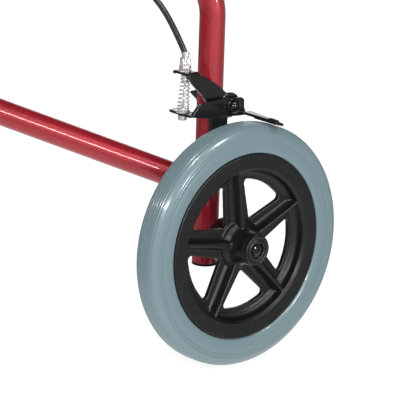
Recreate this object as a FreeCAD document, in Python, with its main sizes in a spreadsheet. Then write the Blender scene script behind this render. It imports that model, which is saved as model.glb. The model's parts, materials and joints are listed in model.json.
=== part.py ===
import FreeCAD, Part
import math
import os
import re
import Sketcher
from types import SimpleNamespace

# Four-wheeled knee scooter. +Z is up, the rider faces -Y, and the rider's left is +X.
# The origin lies on the ground, under the middle of the wheelbase. Lengths are in millimetres.

Vector = FreeCAD.Vector
X_AXIS = Vector(1, 0, 0)
Y_AXIS = Vector(0, 1, 0)
Z_AXIS = Vector(0, 0, 1)

# ---------------------------------------------------------------- driving dimensions
SIZES = {
    # wheels
    "wheel_radius": 101.5,
    "rim_radius": 78,
    "rim_half": 11.9,
    "annulus_radius": 64.5,
    "drum_radius": 60,
    "window_radius": 53.6,
    "window_waist": 50.5,
    "web_half": 2,
    "hub_radius": 17,
    "hub_half": 20,
    "tyre_half": 12.3,
    "tyre_shoulder": 94.5,
    "spoke_count": 5,
    "spoke_turn": 8,
    "fin_thick": 3.6,
    "fin_half": 10,
    "fin_root": 4,
    "rim_edge": 1,
    "bearing_radius": 11,
    "bearing_width": 7,
    "axle_radius": 4,
    "running_fit": 0.05,
    "gap": 0.3,
    "axle_head": 6.5,
    "axle_head_thick": 5,
    "axle_nut_thick": 7,
    "spacer_radius": 9,
    # stance
    "half_wheelbase": 280,
    "rear_track": 240,
    "front_track": 202,
    # frame tubes
    "leg_gauge": 200,
    "leg_foot": 77,
    "plug_lip": 2,
    "plug_depth": 10,
    "middle_lap": 0.1,
    "side_room": 30,
    "side_depth": 40,
    "side_height": 240,
    "leg_bend_start": 284,
    "leg_bend": 51,
    "upper_rise": 6,
    "lower_joint": 140,
    "lower_rise": 18.85,
    "plan_angle": 48.5,
    "tube_radius": 10.7,
    "tube_wall": 1.6,
    "seat_radius": 16,
    "seat_bore": 14,
    "seat_low": 225,
    "seat_high": 380,
    "clamp_high": 22,
    "clamp_wall": 4,
    "clamp_width": 18,
    "clamp_reach": 32,
    "clamp_slit": 2,
    "clamp_bolt_back": 26,
    "clamp_bolt": 3,
    "main_rise_rear": 300,
    "main_rise_front": 287,
    "brace_rear": 243,
    "brace_front": 236,
    # steering
    "head_back": 235,
    "head_radius": 20,
    "head_bore": 17,
    "head_low": 215,
    "head_high": 325,
    "column_radius": 14,
    "column_bore": 12,
    "beam_height": 185,
    "beam_radius": 12.5,
    "beam_wall": 2,
    "beam_cap": 20,
    "gusset_half": 8,
    "gusset_front": 22,
    "gusset_back": 30,
    "gusset_width": 26,
    "gusset_high": 60,
    "race_high": 6,
    "kingpin_gauge": 150,
    "sleeve_radius": 14,
    "sleeve_low": 158,
    "sleeve_high": 212,
    "kingpin_radius": 5,
    "kingpin_head": 8.5,
    "kingpin_head_thick": 5,
    "kingpin_nut_thick": 7,
    "arm_level": 151.7,
    "arm_thick": 6,
    "arm_reach": 50,
    "arm_offset": 12,
    "stud_radius": 4,
    "stud_high": 9,
    "stud_head": 6.5,
    "stud_head_thick": 3.5,
    "rod_radius": 4,
    "rod_eye": 8.5,
    "rod_eye_thick": 8,
    "knuckle_half": 11,
    "knuckle_plate": 4,
    "knuckle_plate_out": 21,
    "pitman_half": 16,
    "fork_radius": 20,
    "fork_thick": 12,
    "fork_ear_out": 10,
    "fork_ear_thick": 7,
    # folding column
    "fold_level": 352,
    "fold_offset": 22,
    "fold_eye": 7.5,
    "fold_pin": 5,
    "fold_pin_head": 7,
    "fold_knuckle_half": 9.7,
    "column_low": 343.6,
    "column_high": 622,
    "column_foot": 12,
    "collar_high": 24,
    "collar_reach": 29,
    "collar_slit": 60,
    "basket_low": 520,
    "basket_high": 56,
    "basket_width": 50,
    "basket_thick": 4,
    "basket_hole": 2.75,
    "basket_hole_gauge": 17,
    "basket_hole_edge": 10,
    "stem_low": 470,
    "stem_high": 812,
    "bar_level": 825,
    "bar_rise": 60,
    "bar_radius": 11.1,
    "bar_half": 240,
    "grip_radius": 15.5,
    "grip_length": 112,
    "perch_offset": 112,
    "perch_wide": 14,
    "perch_wall": 3.5,
    "blade_thick": 8,
    "blade_pivot": 2.5,
    "stem_wall": 2.5,
    "stem_socket": 14,
    "stem_clamp_half": 24,
    "bar_wall": 1.8,
    "bar_bend": 28,
    # knee rest
    "post_low": 240,
    "post_high": 424,
    "plate_thick": 4,
    "plate_width": 90,
    "plate_length": 140,
    "plate_bolt": 3.3,
    "plate_bolt_edge": 10,
    "board_thick": 9,
    "board_inset": 6,
    "board_corner": 30,
    "cushion_corner": 34,
    "cushion_length": 350,
    "cushion_width": 180,
    "cushion_thick": 58,
    # rear brakes, measured from the leg
    "bracket_thick": 2.6,
    "bracket_out": 10.9,
    "lug_radius": 10.5,
    "band_low": 212,
    "band_high": 9,
    "band_wall": 2.4,
    "arm_plate": 3,
    "arm_out": 14.8,
    "arm_tab_thick": 2.4,
    "pad_out": 34,
    "pad_long": 26,
    "pad_deep": 12,
    "pad_thick": 3,
    "pivot_radius": 3,
    "pivot_head": 6,
    "pivot_head_thick": 3.4,
    "pivot_back": 10,
    "pivot_level": 211.4,
    "cable_front": 30.5,
    "cable_out": 3,
    "cable_radius": 2.5,
    "wire_radius": 0.8,
    "barrel_low": 242,
    "barrel_foot": 2.5,
    "barrel_high": 11,
    "stop_radius": 3.2,
    "stop_high": 4.6,
    "spring_low": 210.6,
    "spring_high": 26,
    "spring_radius": 3.7,
    "spring_pitch": 2.7,
    "spring_wire": 0.6,
}

doc = FreeCAD.newDocument("knee_scooter")
dims = doc.addObject("Spreadsheet::Sheet", "dims")
for row, (alias, size) in enumerate(SIZES.items(), start=1):
    dims.set(f"A{row}", alias.replace("_", " "))
    dims.set(f"B{row}", str(size))
    dims.setAlias(f"B{row}", alias)
doc.recompute()
S = SimpleNamespace(**{alias: float(dims.get(alias)) for alias in SIZES})

REAR_Y = S.half_wheelbase
HEAD_Y = -S.head_back
PLAN_X = math.cos(math.radians(S.plan_angle))
PLAN_Y = math.sin(math.radians(S.plan_angle))
SEAT_RUN = S.leg_gauge / PLAN_X
SEAT_Y = REAR_Y - SEAT_RUN * PLAN_Y

nodes = []


# ---------------------------------------------------------------- helpers
def formula(text):
    """The text with every driving dimension named through the sheet."""
    return re.sub(r"[a-z_]+", lambda word: "dims." * (word[0] in SIZES) + word[0], str(text))


def bind(item, **properties):
    """Tie properties of an item to formulas of the driving dimensions."""
    for name, text in properties.items():
        item.setExpression(name, formula(text))
    return item


def move(item, at):
    """Put an item's own origin at three formulas."""
    for letter, text in zip("xyz", at):
        item.setExpression(f"Placement.Base.{letter}", formula(text))
    return item


def node(label, item):
    """Name a finished sub-part; its label is its file's name."""
    item.Label = label
    nodes.append(item)
    return item


def rod(at, radius, length, axis=Z_AXIS):
    """A solid cylinder from a point along an axis."""
    item = bind(doc.addObject("Part::Cylinder", "rod"), Radius=radius, Height=length)
    item.Placement.Rotation = FreeCAD.Rotation(Z_AXIS, axis)
    return move(item, at)


def block(low, length, width, height):
    """A box from its lowest corner."""
    item = bind(doc.addObject("Part::Box", "block"), Length=length, Width=width, Height=height)
    return move(item, low)


def cut(base, *tools):
    item = doc.addObject("Part::Cut", "cut")
    item.Base = base
    item.Tool = tools[0] if len(tools) == 1 else fuse(*tools)
    return item


def fuse(*shapes):
    item = doc.addObject("Part::MultiFuse", "fuse")
    item.Shapes = list(shapes)
    return item


def group(*shapes):
    """Separate solids kept side by side in one item."""
    item = doc.addObject("Part::Compound", "set")
    item.Links = list(shapes)
    return item


def ring(at, outer, inner, length, axis=Z_AXIS):
    return cut(rod(at, outer, length, axis), rod(at, inner, length, axis))


def mirror(item):
    """The same piece on the other side of the scooter."""
    twin = doc.addObject("Part::Mirroring", "mirror")
    twin.Source = item
    twin.Base = (0, 0, 0)
    twin.Normal = (1, 0, 0)
    return twin


def both(label, item):
    """A left piece and its mirrored right piece as two nodes."""
    node(f"{label}_left", item)
    node(f"{label}_right", mirror(item))


def sketch(body, plane, corners, offset=0):
    """A closed outline whose corners are pairs of formulas."""
    item = body.newObject("Sketcher::SketchObject", f"{body.Name}_outline")
    support = next(face for face in body.Origin.OriginFeatures if face.Role == plane)
    item.AttachmentSupport = [(support, "")]
    item.MapMode = "FlatFace"
    item.setExpression("AttachmentOffset.Base.z", formula(offset))
    turns = [2 * math.pi * (index + 0.3) / len(corners) for index in range(len(corners))]
    starts = [Vector(10 * math.cos(turn), 10 * math.sin(turn), 0) for turn in turns]
    for index, start in enumerate(starts):
        item.addGeometry(Part.LineSegment(start, starts[(index + 1) % len(starts)]), False)
    for index in range(len(corners)):
        item.addConstraint(Sketcher.Constraint("Coincident", index, 2, (index + 1) % len(corners), 1))
    for index, (across, up) in enumerate(corners):
        for kind, start, text in (("DistanceX", starts[index].x, across), ("DistanceY", starts[index].y, up)):
            number = item.addConstraint(Sketcher.Constraint(kind, -1, 1, index, 1, start))
            item.setExpression(f"Constraints[{number}]", formula(text))
    return item


def new_body(name):
    return doc.addObject("PartDesign::Body", name)


def axis_of(body, role):
    return next(line for line in body.Origin.OriginFeatures if line.Role == role)


def pad(body, outline, length, symmetric=False):
    item = bind(body.newObject("PartDesign::Pad", f"{body.Name}_pad"), Length=length)
    item.Profile = outline
    if symmetric:
        item.SideType = "Symmetric"
    return item


def plate(name, plane, corners, thick, offset=0, symmetric=False):
    """A flat plate of any outline."""
    body = new_body(name)
    pad(body, sketch(body, plane, corners, offset), thick, symmetric)
    return body


def revolve(name, corners):
    """A body turned about its own X axis from an outline of (along X, radius) corners."""
    body = new_body(name)
    item = body.newObject("PartDesign::Revolution", f"{name}_turn")
    item.Profile = sketch(body, "XZ_Plane", corners)
    item.ReferenceAxis = (axis_of(body, "X_Axis"), [""])
    item.Angle = 360
    return body


def spline_of_arcs(points, radii):
    """A wire of straight runs joined by tangent arcs at the inner points."""
    edges = []
    start = points[0]
    for before, corner, after, radius in zip(points, points[1:], points[2:], radii):
        inward = (corner - before).normalize()
        outward = (after - corner).normalize()
        half_turn = inward.getAngle(outward) / 2
        reach = radius * math.tan(half_turn)
        first = corner - inward * reach
        last = corner + outward * reach
        bisector = (outward - inward).normalize()
        middle = corner + bisector * (radius / math.cos(half_turn) - radius)
        edges.append(Part.LineSegment(start, first).toShape())
        edges.append(Part.Arc(first, middle, last).toShape())
        start = last
    edges.append(Part.LineSegment(start, points[-1]).toShape())
    return Part.Wire(edges)


def sweep(points, radii, radius):
    """A round bar of one radius along a bent path."""
    path = doc.addObject("Part::Feature", "path")
    path.Shape = spline_of_arcs(points, radii)
    section = bind(doc.addObject("Part::Circle", "section"), Radius=radius)
    turn = FreeCAD.Rotation(Z_AXIS, (points[1] - points[0]).normalize())
    section.Placement = FreeCAD.Placement(points[0], turn)
    item = doc.addObject("Part::Sweep", "bar")
    item.Sections = [section]
    item.Spine = (path, [f"Edge{number + 1}" for number in range(len(path.Shape.Edges))])
    item.Solid = True
    item.Frenet = False
    return item


def pipe(points, radii, outer, wall):
    """A bent tube with an open bore."""
    return cut(sweep(points, radii, outer), sweep(points, radii, f"{outer} - {wall}"))


def on_leg_plane(run, side, level):
    """A point from distances inward from the left leg and in front of that plane, and a height."""
    across = S.leg_gauge - run * PLAN_X + side * PLAN_Y
    along = REAR_Y - run * PLAN_Y - side * PLAN_X
    return Vector(across, along, level)


def past_middle():
    """Everything beyond the middle plane, which the tubes of one side stop at."""
    low = ("-side_room", SEAT_Y, "seat_low - side_depth")
    return block(low, "side_room + middle_lap", "side_depth", "side_height")


def rear_axis(across):
    """A place on the axis of the rear wheels."""
    return (across, "half_wheelbase", "wheel_radius")


def front_axis(across):
    """A place on the axis of the front wheels, with the steering straight."""
    return (across, "-half_wheelbase", "wheel_radius")


def on_kingpin(level):
    """A place on the left kingpin's axis."""
    return ("kingpin_gauge", "-half_wheelbase", level)


def leg_core(length):
    """The space that the left leg fills, up from its foot."""
    return rod(("leg_gauge", "half_wheelbase", "leg_foot"), "tube_radius", length)


# ---------------------------------------------------------------- rear frame
def rear_frame():
    rise = math.radians(S.upper_rise)
    turn = math.pi / 2 - rise
    bend_run = S.leg_bend * math.tan(turn / 2)
    corner = S.leg_bend_start + bend_run
    seat_side = corner + SEAT_RUN * math.tan(rise)
    path = [on_leg_plane(0, 0, S.leg_foot), on_leg_plane(0, 0, corner), on_leg_plane(SEAT_RUN, 0, seat_side)]
    seat_core = rod((0, SEAT_Y, "seat_low"), "seat_radius", "seat_high - seat_low")
    axle_start = rear_axis("leg_gauge - tube_radius * 2")
    axle_hole = rod(axle_start, "axle_radius", "tube_radius * 4", X_AXIS)
    tube = pipe(path, [S.leg_bend], "tube_radius", "tube_wall")
    both("rear_leg", cut(tube, seat_core, past_middle(), axle_hole))

    lower_end = S.lower_joint + SEAT_RUN * math.tan(math.radians(S.lower_rise))
    lower_path = [on_leg_plane(0, 0, S.lower_joint), on_leg_plane(SEAT_RUN, 0, lower_end)]
    seat_reach = rod((0, SEAT_Y, "seat_low - side_depth"), "seat_radius", "side_height")
    lower = pipe(lower_path, [], "tube_radius", "tube_wall")
    both("lower_tube", cut(lower, leg_core("lower_joint"), seat_reach, past_middle()))

    plug = fuse(
        rod(("leg_gauge", "half_wheelbase", "leg_foot - plug_lip"), "tube_radius", "plug_lip"),
        rod(("leg_gauge", "half_wheelbase", "leg_foot"), "tube_radius - tube_wall", "plug_depth"),
    )
    node("leg_plugs", group(plug, mirror(plug)))

    node("seat_tube", ring((0, SEAT_Y, "seat_low"), "seat_radius", "seat_bore", "seat_high - seat_low"))
    ears_at = ("-clamp_width / 2", f"{SEAT_Y} - clamp_reach", "seat_high")
    slit_at = ("-clamp_slit / 2", f"{SEAT_Y} - side_depth", "seat_high")
    bolt_at = ("-clamp_width", f"{SEAT_Y} - clamp_bolt_back", "seat_high + clamp_high / 2")
    clamp = cut(
        fuse(
            rod((0, SEAT_Y, "seat_high"), "seat_radius + clamp_wall", "clamp_high"),
            block(ears_at, "clamp_width", "clamp_reach", "clamp_high"),
        ),
        rod((0, SEAT_Y, "seat_high"), "seat_bore", "clamp_high"),
        block(slit_at, "clamp_slit", "side_depth", "clamp_high"),
        rod(bolt_at, "clamp_bolt", "clamp_width * 2", X_AXIS),
    )
    node("post_clamp", clamp)


def front_frame():
    seat_core = rod((0, SEAT_Y, "seat_low - seat_radius"), "seat_radius", "seat_high - seat_low")
    head_reach = "head_high - head_low + head_radius * 2"
    head_core = rod((0, HEAD_Y, "head_low - head_radius"), "head_radius", head_reach)
    main_path = [Vector(0, SEAT_Y, S.main_rise_rear), Vector(0, HEAD_Y, S.main_rise_front)]
    node("main_tube", cut(pipe(main_path, [], "seat_radius", "tube_wall"), seat_core, head_core))
    brace_path = [Vector(0, SEAT_Y, S.brace_rear), Vector(0, HEAD_Y, S.brace_front)]
    node("brace_tube", cut(pipe(brace_path, [], "tube_radius", "tube_wall"), seat_core, head_core))
    node("head_tube", ring((0, HEAD_Y, "head_low"), "head_radius", "head_bore", "head_high - head_low"))

    pivot = on_kingpin("sleeve_low")
    sleeve = rod(pivot, "sleeve_radius", "sleeve_high - sleeve_low")
    bore = rod(pivot, "kingpin_radius + running_fit", "sleeve_high - sleeve_low")
    beam_end = ("-kingpin_gauge", "-half_wheelbase", "beam_height")
    beam = rod(beam_end, "beam_radius", "kingpin_gauge * 2", X_AXIS)
    beam_core = rod(beam_end, "beam_radius", "kingpin_gauge * 2", X_AXIS)
    hollow = rod(
        ("beam_cap - kingpin_gauge", "-half_wheelbase", "beam_height"),
        "beam_radius - beam_wall",
        "kingpin_gauge * 2 - beam_cap * 2",
        X_AXIS,
    )
    gusset = [
        ("-half_wheelbase - gusset_half", "beam_height"),
        ("-half_wheelbase + gusset_half", "beam_height"),
        ("-half_wheelbase + gusset_back", "head_low"),
        ("-half_wheelbase + gusset_back", "head_low + gusset_high"),
        ("-half_wheelbase + gusset_front", "head_low + gusset_high"),
        ("-half_wheelbase - gusset_half", "beam_height + gusset_half * 2"),
    ]
    web = plate("gusset", "YZ_Plane", gusset, "gusset_width", symmetric=True)
    race_room = rod((0, HEAD_Y, "head_low - side_room"), "head_radius + 1 + gap", "side_room")
    gusset_web = cut(web, beam_core, head_core, race_room)
    node("front_beam", cut(fuse(cut(beam, hollow), gusset_web, sleeve, mirror(sleeve)), bore, mirror(bore)))

    races = [
        ring((0, HEAD_Y, level), "head_radius + 1", "column_radius + running_fit", "race_high")
        for level in ("head_low - race_high", "head_high")
    ]
    node("headset_bearings", group(*races))

    bolt_low = "arm_level - kingpin_head_thick"
    nut_low = "sleeve_high + arm_thick + gap * 2"
    pin = fuse(
        rod(on_kingpin(bolt_low), "kingpin_radius", f"sleeve_high + 13 - ({bolt_low})"),
        rod(on_kingpin(f"{bolt_low} - gap"), "kingpin_head", "kingpin_head_thick"),
        rod(on_kingpin(nut_low), "kingpin_head", "kingpin_nut_thick"),
    )
    node("kingpin_bolts", group(pin, mirror(pin)))


# ---------------------------------------------------------------- wheels
def wheel(label, centre):
    """Tyre, spoked rim and two bearings, all turned about the wheel's own axle."""
    rim = revolve(
        f"{label}_rim_body",
        [
            ("-hub_half", "bearing_radius"),
            ("bearing_width - hub_half", "bearing_radius"),
            ("bearing_width - hub_half", "axle_radius + 2"),
            ("hub_half - bearing_width", "axle_radius + 2"),
            ("hub_half - bearing_width", "bearing_radius"),
            ("hub_half", "bearing_radius"),
            ("hub_half", "hub_radius - 2"),
            ("hub_half - 2", "hub_radius"),
            ("web_half", "hub_radius + 3"),
            ("web_half", "drum_radius"),
            ("rim_half - 3.5", "annulus_radius - 2.5"),
            ("rim_half - 3", "annulus_radius - 1.5"),
            ("rim_half - rim_edge", "annulus_radius - rim_edge"),
            ("rim_half", "annulus_radius"),
            ("rim_half", "rim_radius - rim_edge"),
            ("rim_half - rim_edge", "rim_radius"),
            ("rim_edge - rim_half", "rim_radius"),
            ("-rim_half", "rim_radius - rim_edge"),
            ("-rim_half", "annulus_radius"),
            ("rim_edge - rim_half", "annulus_radius - rim_edge"),
            ("3 - rim_half", "annulus_radius - 1.5"),
            ("3.5 - rim_half", "annulus_radius - 2.5"),
            ("-web_half", "drum_radius"),
            ("-web_half", "hub_radius + 3"),
            ("2 - hub_half", "hub_radius"),
            ("-hub_half", "hub_radius - 2"),
        ],
    )
    fins = pad(
        rim,
        sketch(
            rim,
            "XZ_Plane",
            [
                ("-fin_half", "hub_radius - fin_root"),
                ("fin_half", "hub_radius - fin_root"),
                ("fin_half", "annulus_radius - rim_edge"),
                ("-fin_half", "annulus_radius - rim_edge"),
            ],
        ),
        "fin_thick",
        symmetric=True,
    )
    ring_of_fins = rim.newObject("PartDesign::PolarPattern", f"{label}_fins")
    ring_of_fins.Originals = [fins]
    ring_of_fins.Axis = (axis_of(rim, "X_Axis"), [""])
    ring_of_fins.Angle = 360
    bind(ring_of_fins, Occurrences="spoke_count")
    rim.Tip = ring_of_fins
    # The windows lie half a spoke's pitch away from the fins.
    half_pitch = 180 / S.spoke_count
    window = rim.newObject("PartDesign::Pocket", f"{label}_window")
    outline = sketch(
        rim,
        "YZ_Plane",
        [
            ("23 * sin(26)", "23 * cos(26)"),
            ("window_waist * sin(11.5)", "window_waist * cos(11.5)"),
            ("window_radius * sin(16)", "window_radius * cos(16)"),
            (f"(window_radius + 1) * sin({half_pitch})", f"(window_radius + 1) * cos({half_pitch})"),
            ("window_radius * sin(56)", "window_radius * cos(56)"),
            ("window_waist * sin(60.5)", "window_waist * cos(60.5)"),
            ("23 * sin(46)", "23 * cos(46)"),
        ],
        "-rim_half",
    )
    window.Profile = outline
    window.Reversed = True
    bind(window, Length="rim_half * 2")
    windows = rim.newObject("PartDesign::PolarPattern", f"{label}_windows")
    windows.Originals = [window]
    windows.Axis = (axis_of(rim, "X_Axis"), [""])
    windows.Angle = 360
    bind(windows, Occurrences="spoke_count")
    rim.Tip = windows

    tyre = revolve(
        f"{label}_tyre_body",
        [
            ("0.5 - rim_half", "rim_radius"),
            ("rim_half - 0.5", "rim_radius"),
            ("tyre_half", "rim_radius + 3"),
            ("tyre_half", "tyre_shoulder - 3"),
            ("tyre_half - 0.7", "tyre_shoulder"),
            ("tyre_half - 2.7", "tyre_shoulder + 3.6"),
            ("tyre_half - 5.8", "wheel_radius - 1"),
            ("tyre_half - 9.5", "wheel_radius"),
            ("9.5 - tyre_half", "wheel_radius"),
            ("5.8 - tyre_half", "wheel_radius - 1"),
            ("2.7 - tyre_half", "tyre_shoulder + 3.6"),
            ("0.7 - tyre_half", "tyre_shoulder"),
            ("-tyre_half", "tyre_shoulder - 3"),
            ("-tyre_half", "rim_radius + 3"),
        ],
    )
    inner = ("-hub_half", 0, 0)
    outer = ("hub_half - bearing_width", 0, 0)
    bore = "axle_radius + running_fit"
    bearings = group(
        *(ring(at, "bearing_radius", bore, "bearing_width", X_AXIS) for at in (inner, outer))
    )
    rim.Placement.Rotation = FreeCAD.Rotation(X_AXIS, S.spoke_turn)
    for part, item in (("rim", rim), ("tyre", tyre), ("bearings", bearings)):
        move(item, centre)
        node(f"{label}_{part}_left", item)
    for part, item in (("rim", rim), ("tyre", tyre), ("bearings", bearings)):
        node(f"{label}_{part}_right", mirror(item))


def wheels():
    wheel("rear", rear_axis("rear_track"))
    wheel("front", front_axis("front_track"))
    leg_side = "leg_gauge + tube_radius"
    wheel_side = "rear_track - hub_half"
    at = rear_axis(f"{leg_side} - rim_edge")
    spacer = cut(
        rod(at, "spacer_radius", f"{wheel_side} - gap - ({leg_side}) + rim_edge", X_AXIS),
        rod(at, "axle_radius", "hub_half", X_AXIS),
        leg_core("leg_foot"),
    )
    tail = "leg_gauge - tube_radius - axle_nut_thick"
    bolt_end = "rear_track + hub_half + gap"
    bolt = fuse(
        rod(rear_axis(f"{tail} - 2"), "axle_radius", f"{bolt_end} + 4 - ({tail})", X_AXIS),
        rod(rear_axis(bolt_end), "axle_head", "axle_head_thick", X_AXIS),
    )
    nut_at = rear_axis(tail)
    nut = cut(
        rod(nut_at, "axle_head", "axle_nut_thick + 1", X_AXIS),
        rod(nut_at, "axle_radius", "axle_nut_thick + 1", X_AXIS),
        leg_core("leg_foot"),
    )
    left_set = [bolt, nut, spacer]
    node("rear_axles", group(*left_set, *(mirror(piece) for piece in left_set)))


# ---------------------------------------------------------------- steering
def stud(at_x, at_y):
    """A tie-rod stud on top of an arm, with its head."""
    top = "arm_level + arm_thick"
    return fuse(
        rod((at_x, at_y, top), "stud_radius", "stud_high"),
        rod((at_x, at_y, f"{top} + rod_eye_thick + gap * 2"), "stud_head", "stud_head_thick"),
    )


def knuckle():
    plate_x = "kingpin_gauge + knuckle_plate_out"
    outer_x = "kingpin_gauge + knuckle_plate_out + knuckle_plate"
    inner_x = "kingpin_gauge - 9"
    front_y = "-half_wheelbase - knuckle_half"
    back_y = "-half_wheelbase + knuckle_half"
    arm_end = "arm_reach + 7 - half_wheelbase"
    axle_end = f"front_track - hub_half - gap - ({plate_x})"
    upper = "sleeve_high + gap"
    ear_outline = [(inner_x, front_y), (outer_x, front_y), (outer_x, back_y), (inner_x, back_y)]
    arm_outline = [
        (inner_x, front_y),
        (outer_x, front_y),
        (outer_x, back_y),
        ("kingpin_gauge + arm_offset + 8", arm_end),
        ("kingpin_gauge + arm_offset - 8", arm_end),
        (inner_x, back_y),
    ]
    plate_low = "wheel_radius - 13"
    plate_high = f"{upper} + arm_thick - ({plate_low})"
    body = fuse(
        plate("upper_ear", "XY_Plane", ear_outline, "arm_thick", upper),
        plate("lower_ear", "XY_Plane", arm_outline, "arm_thick", "arm_level"),
        block((plate_x, front_y, plate_low), "knuckle_plate", "knuckle_half * 2", plate_high),
        stud("kingpin_gauge + arm_offset", "arm_reach - half_wheelbase"),
        rod(front_axis(plate_x), "spacer_radius", axle_end, X_AXIS),
    )
    pin_hole = rod(front_axis("kingpin_gauge"), "kingpin_radius + running_fit", "wheel_radius * 2")
    axle_hole = rod(front_axis(f"{plate_x} - 1"), "axle_radius", "side_room", X_AXIS)
    both("knuckle", cut(body, pin_hole, axle_hole))
    bolt_start = f"{plate_x} - axle_nut_thick - 2"
    bolt_end = "front_track + hub_half + gap"
    bolt = fuse(
        rod(front_axis(bolt_start), "axle_radius", f"{bolt_end} - ({bolt_start})", X_AXIS),
        rod(front_axis(bolt_end), "axle_head", "axle_head_thick", X_AXIS),
        rod(front_axis(f"{plate_x} - axle_nut_thick"), "axle_head", "axle_nut_thick", X_AXIS),
    )
    both("front_axle", bolt)


def steering():
    arm = [
        ("-pitman_half", "-head_back - pitman_half"),
        ("pitman_half", "-head_back - pitman_half"),
        ("arm_offset + 9", "arm_reach + 8 - head_back"),
        ("-arm_offset - 9", "arm_reach + 8 - head_back"),
    ]
    pitman = fuse(
        plate("pitman", "XY_Plane", arm, "arm_thick", "arm_level"),
        stud("arm_offset", "arm_reach - head_back"),
        stud("-arm_offset", "arm_reach - head_back"),
    )
    low = "arm_level + arm_thick"
    shaft = ring((0, "-head_back", low), "column_radius", "column_radius - 2.5", f"fold_level - 18 - ({low})")
    race = ring((0, "-head_back", "head_low - race_high - gap - 5"), "head_radius", "column_radius", 5)
    base_low = "head_high + race_high + gap"
    fold_y = "-head_back - fold_offset"
    half = "fork_ear_out + fork_ear_thick"
    front = "fold_offset + 8"
    base = fuse(
        rod((0, "-head_back", base_low), "fork_radius", "fork_thick"),
        block((f"-({half})", f"-head_back - ({front})", base_low), f"({half}) * 2", front, "fork_thick"),
    )
    ear_at = ("fork_ear_out", f"{fold_y} - fold_eye", base_low)
    ear = fuse(
        rod(("fork_ear_out", fold_y, "fold_level"), "fold_eye", "fork_ear_thick", X_AXIS),
        block(ear_at, "fork_ear_thick", "fold_eye * 2 - 4", f"fold_level - ({base_low})"),
    )
    pin_hole = rod(("-fork_radius", fold_y, "fold_level"), "fold_pin", "fork_radius * 2", X_AXIS)
    body = fuse(pitman, shaft, race, base, ear, mirror(ear))
    node("steering_shaft", cut(body, pin_hole))
    pin_head = rod((half, fold_y, "fold_level"), "fold_pin_head", 4, X_AXIS)
    shank = rod((f"-({half})", fold_y, "fold_level"), "fold_pin", f"({half}) * 2", X_AXIS)
    pin = fuse(shank, pin_head, mirror(pin_head))
    node("fold_pin", pin)


def tie_rod():
    eye_low = "arm_level + arm_thick + gap"
    inner = ("arm_offset", "arm_reach - head_back")
    outer = ("kingpin_gauge + arm_offset", "arm_reach - half_wheelbase")
    eyes = [rod((*at, eye_low), "rod_eye", "rod_eye_thick") for at in (inner, outer)]
    holes = [rod((*at, eye_low), "stud_radius + running_fit", "rod_eye_thick") for at in (inner, outer)]
    level = S.arm_level + S.arm_thick + S.gap + S.rod_eye_thick / 2
    start = Vector(S.arm_offset, S.arm_reach - S.head_back, level)
    end = Vector(S.kingpin_gauge + S.arm_offset, S.arm_reach - S.half_wheelbase, level)
    span = sweep([start, end], [], "rod_radius")
    both("tie_rod", cut(fuse(span, *eyes), *holes))


def column():
    fold_y = "-head_back - fold_offset"
    half = "fold_knuckle_half"
    knuckle_eye = fuse(
        rod((f"-{half}", fold_y, "fold_level"), "fold_eye", f"{half} * 2", X_AXIS),
        block((f"-{half}", fold_y, "column_low + 1"), f"{half} * 2", "fold_offset", "column_foot - 1"),
    )
    hole = rod((f"-{half}", fold_y, "fold_level"), "fold_pin + running_fit", f"{half} * 2", X_AXIS)
    room_at = ("-fork_radius - 1", fold_y, "fold_level")
    eye_room = rod(room_at, "fold_eye + gap + 0.2", "fork_radius * 2 + 2", X_AXIS)
    foot = cut(rod((0, "-head_back", "column_low"), "fork_radius", "column_foot"), eye_room)
    tube_low = "column_low + column_foot"
    tube = rod((0, "-head_back", tube_low), "column_radius", f"column_high - ({tube_low})")
    collar_low = "column_high - collar_high"
    collar = fuse(
        rod((0, "-head_back", collar_low), "column_radius + clamp_wall", "collar_high"),
        block(("-clamp_width / 2", "-head_back", collar_low), "clamp_width", "collar_reach", "collar_high"),
    )
    bracket_y = "-head_back - column_radius - basket_thick"
    bracket_at = ("-basket_width / 2", f"{bracket_y} + 1", "basket_low")
    bracket = block(bracket_at, "basket_width", "basket_thick", "basket_high")
    bracket_holes = [
        rod((across, bracket_y, level), "basket_hole", "basket_thick * 2", Y_AXIS)
        for across in ("-basket_hole_gauge", "basket_hole_gauge")
        for level in ("basket_low + basket_hole_edge", "basket_low + basket_high - basket_hole_edge")
    ]
    bore = rod((0, "-head_back", "column_low + fork_radius"), "column_bore", "column_high - column_low")
    slit_at = ("-clamp_slit / 2", "-head_back", "column_high - collar_slit")
    slit = block(slit_at, "clamp_slit", "side_depth", "collar_slit + 1")
    bolt_at = ("-clamp_width", "-head_back + collar_high", "column_high - collar_high / 2")
    bolt_hole = rod(bolt_at, "clamp_bolt", "clamp_width * 2", X_AXIS)
    body = fuse(knuckle_eye, foot, tube, collar, bracket)
    node("folding_column", cut(body, hole, bore, slit, bolt_hole, *bracket_holes))


def clamp_lever(label, y, level):
    """Quick-release lever with its cam and skewer, beside a split clamp; it swings about the skewer."""
    clear = "clamp_width / 2 + gap * 2"
    nut_thick = 5.5
    handle_long = 58
    handle_wide = 9
    skewer = fuse(
        rod((-16, y, level), "clamp_bolt - gap + 0.1", 36, X_AXIS),
        rod((f"-clamp_width / 2 - {nut_thick} - 0.5", y, level), 5.5, nut_thick, X_AXIS),
    )
    cam = rod((clear, y, level), 7, 12, X_AXIS)
    handle = block((13, y - handle_wide / 2, f"{level} - {handle_long}"), 5, handle_wide, handle_long)
    node(label, fuse(skewer, cam, handle))


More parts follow.
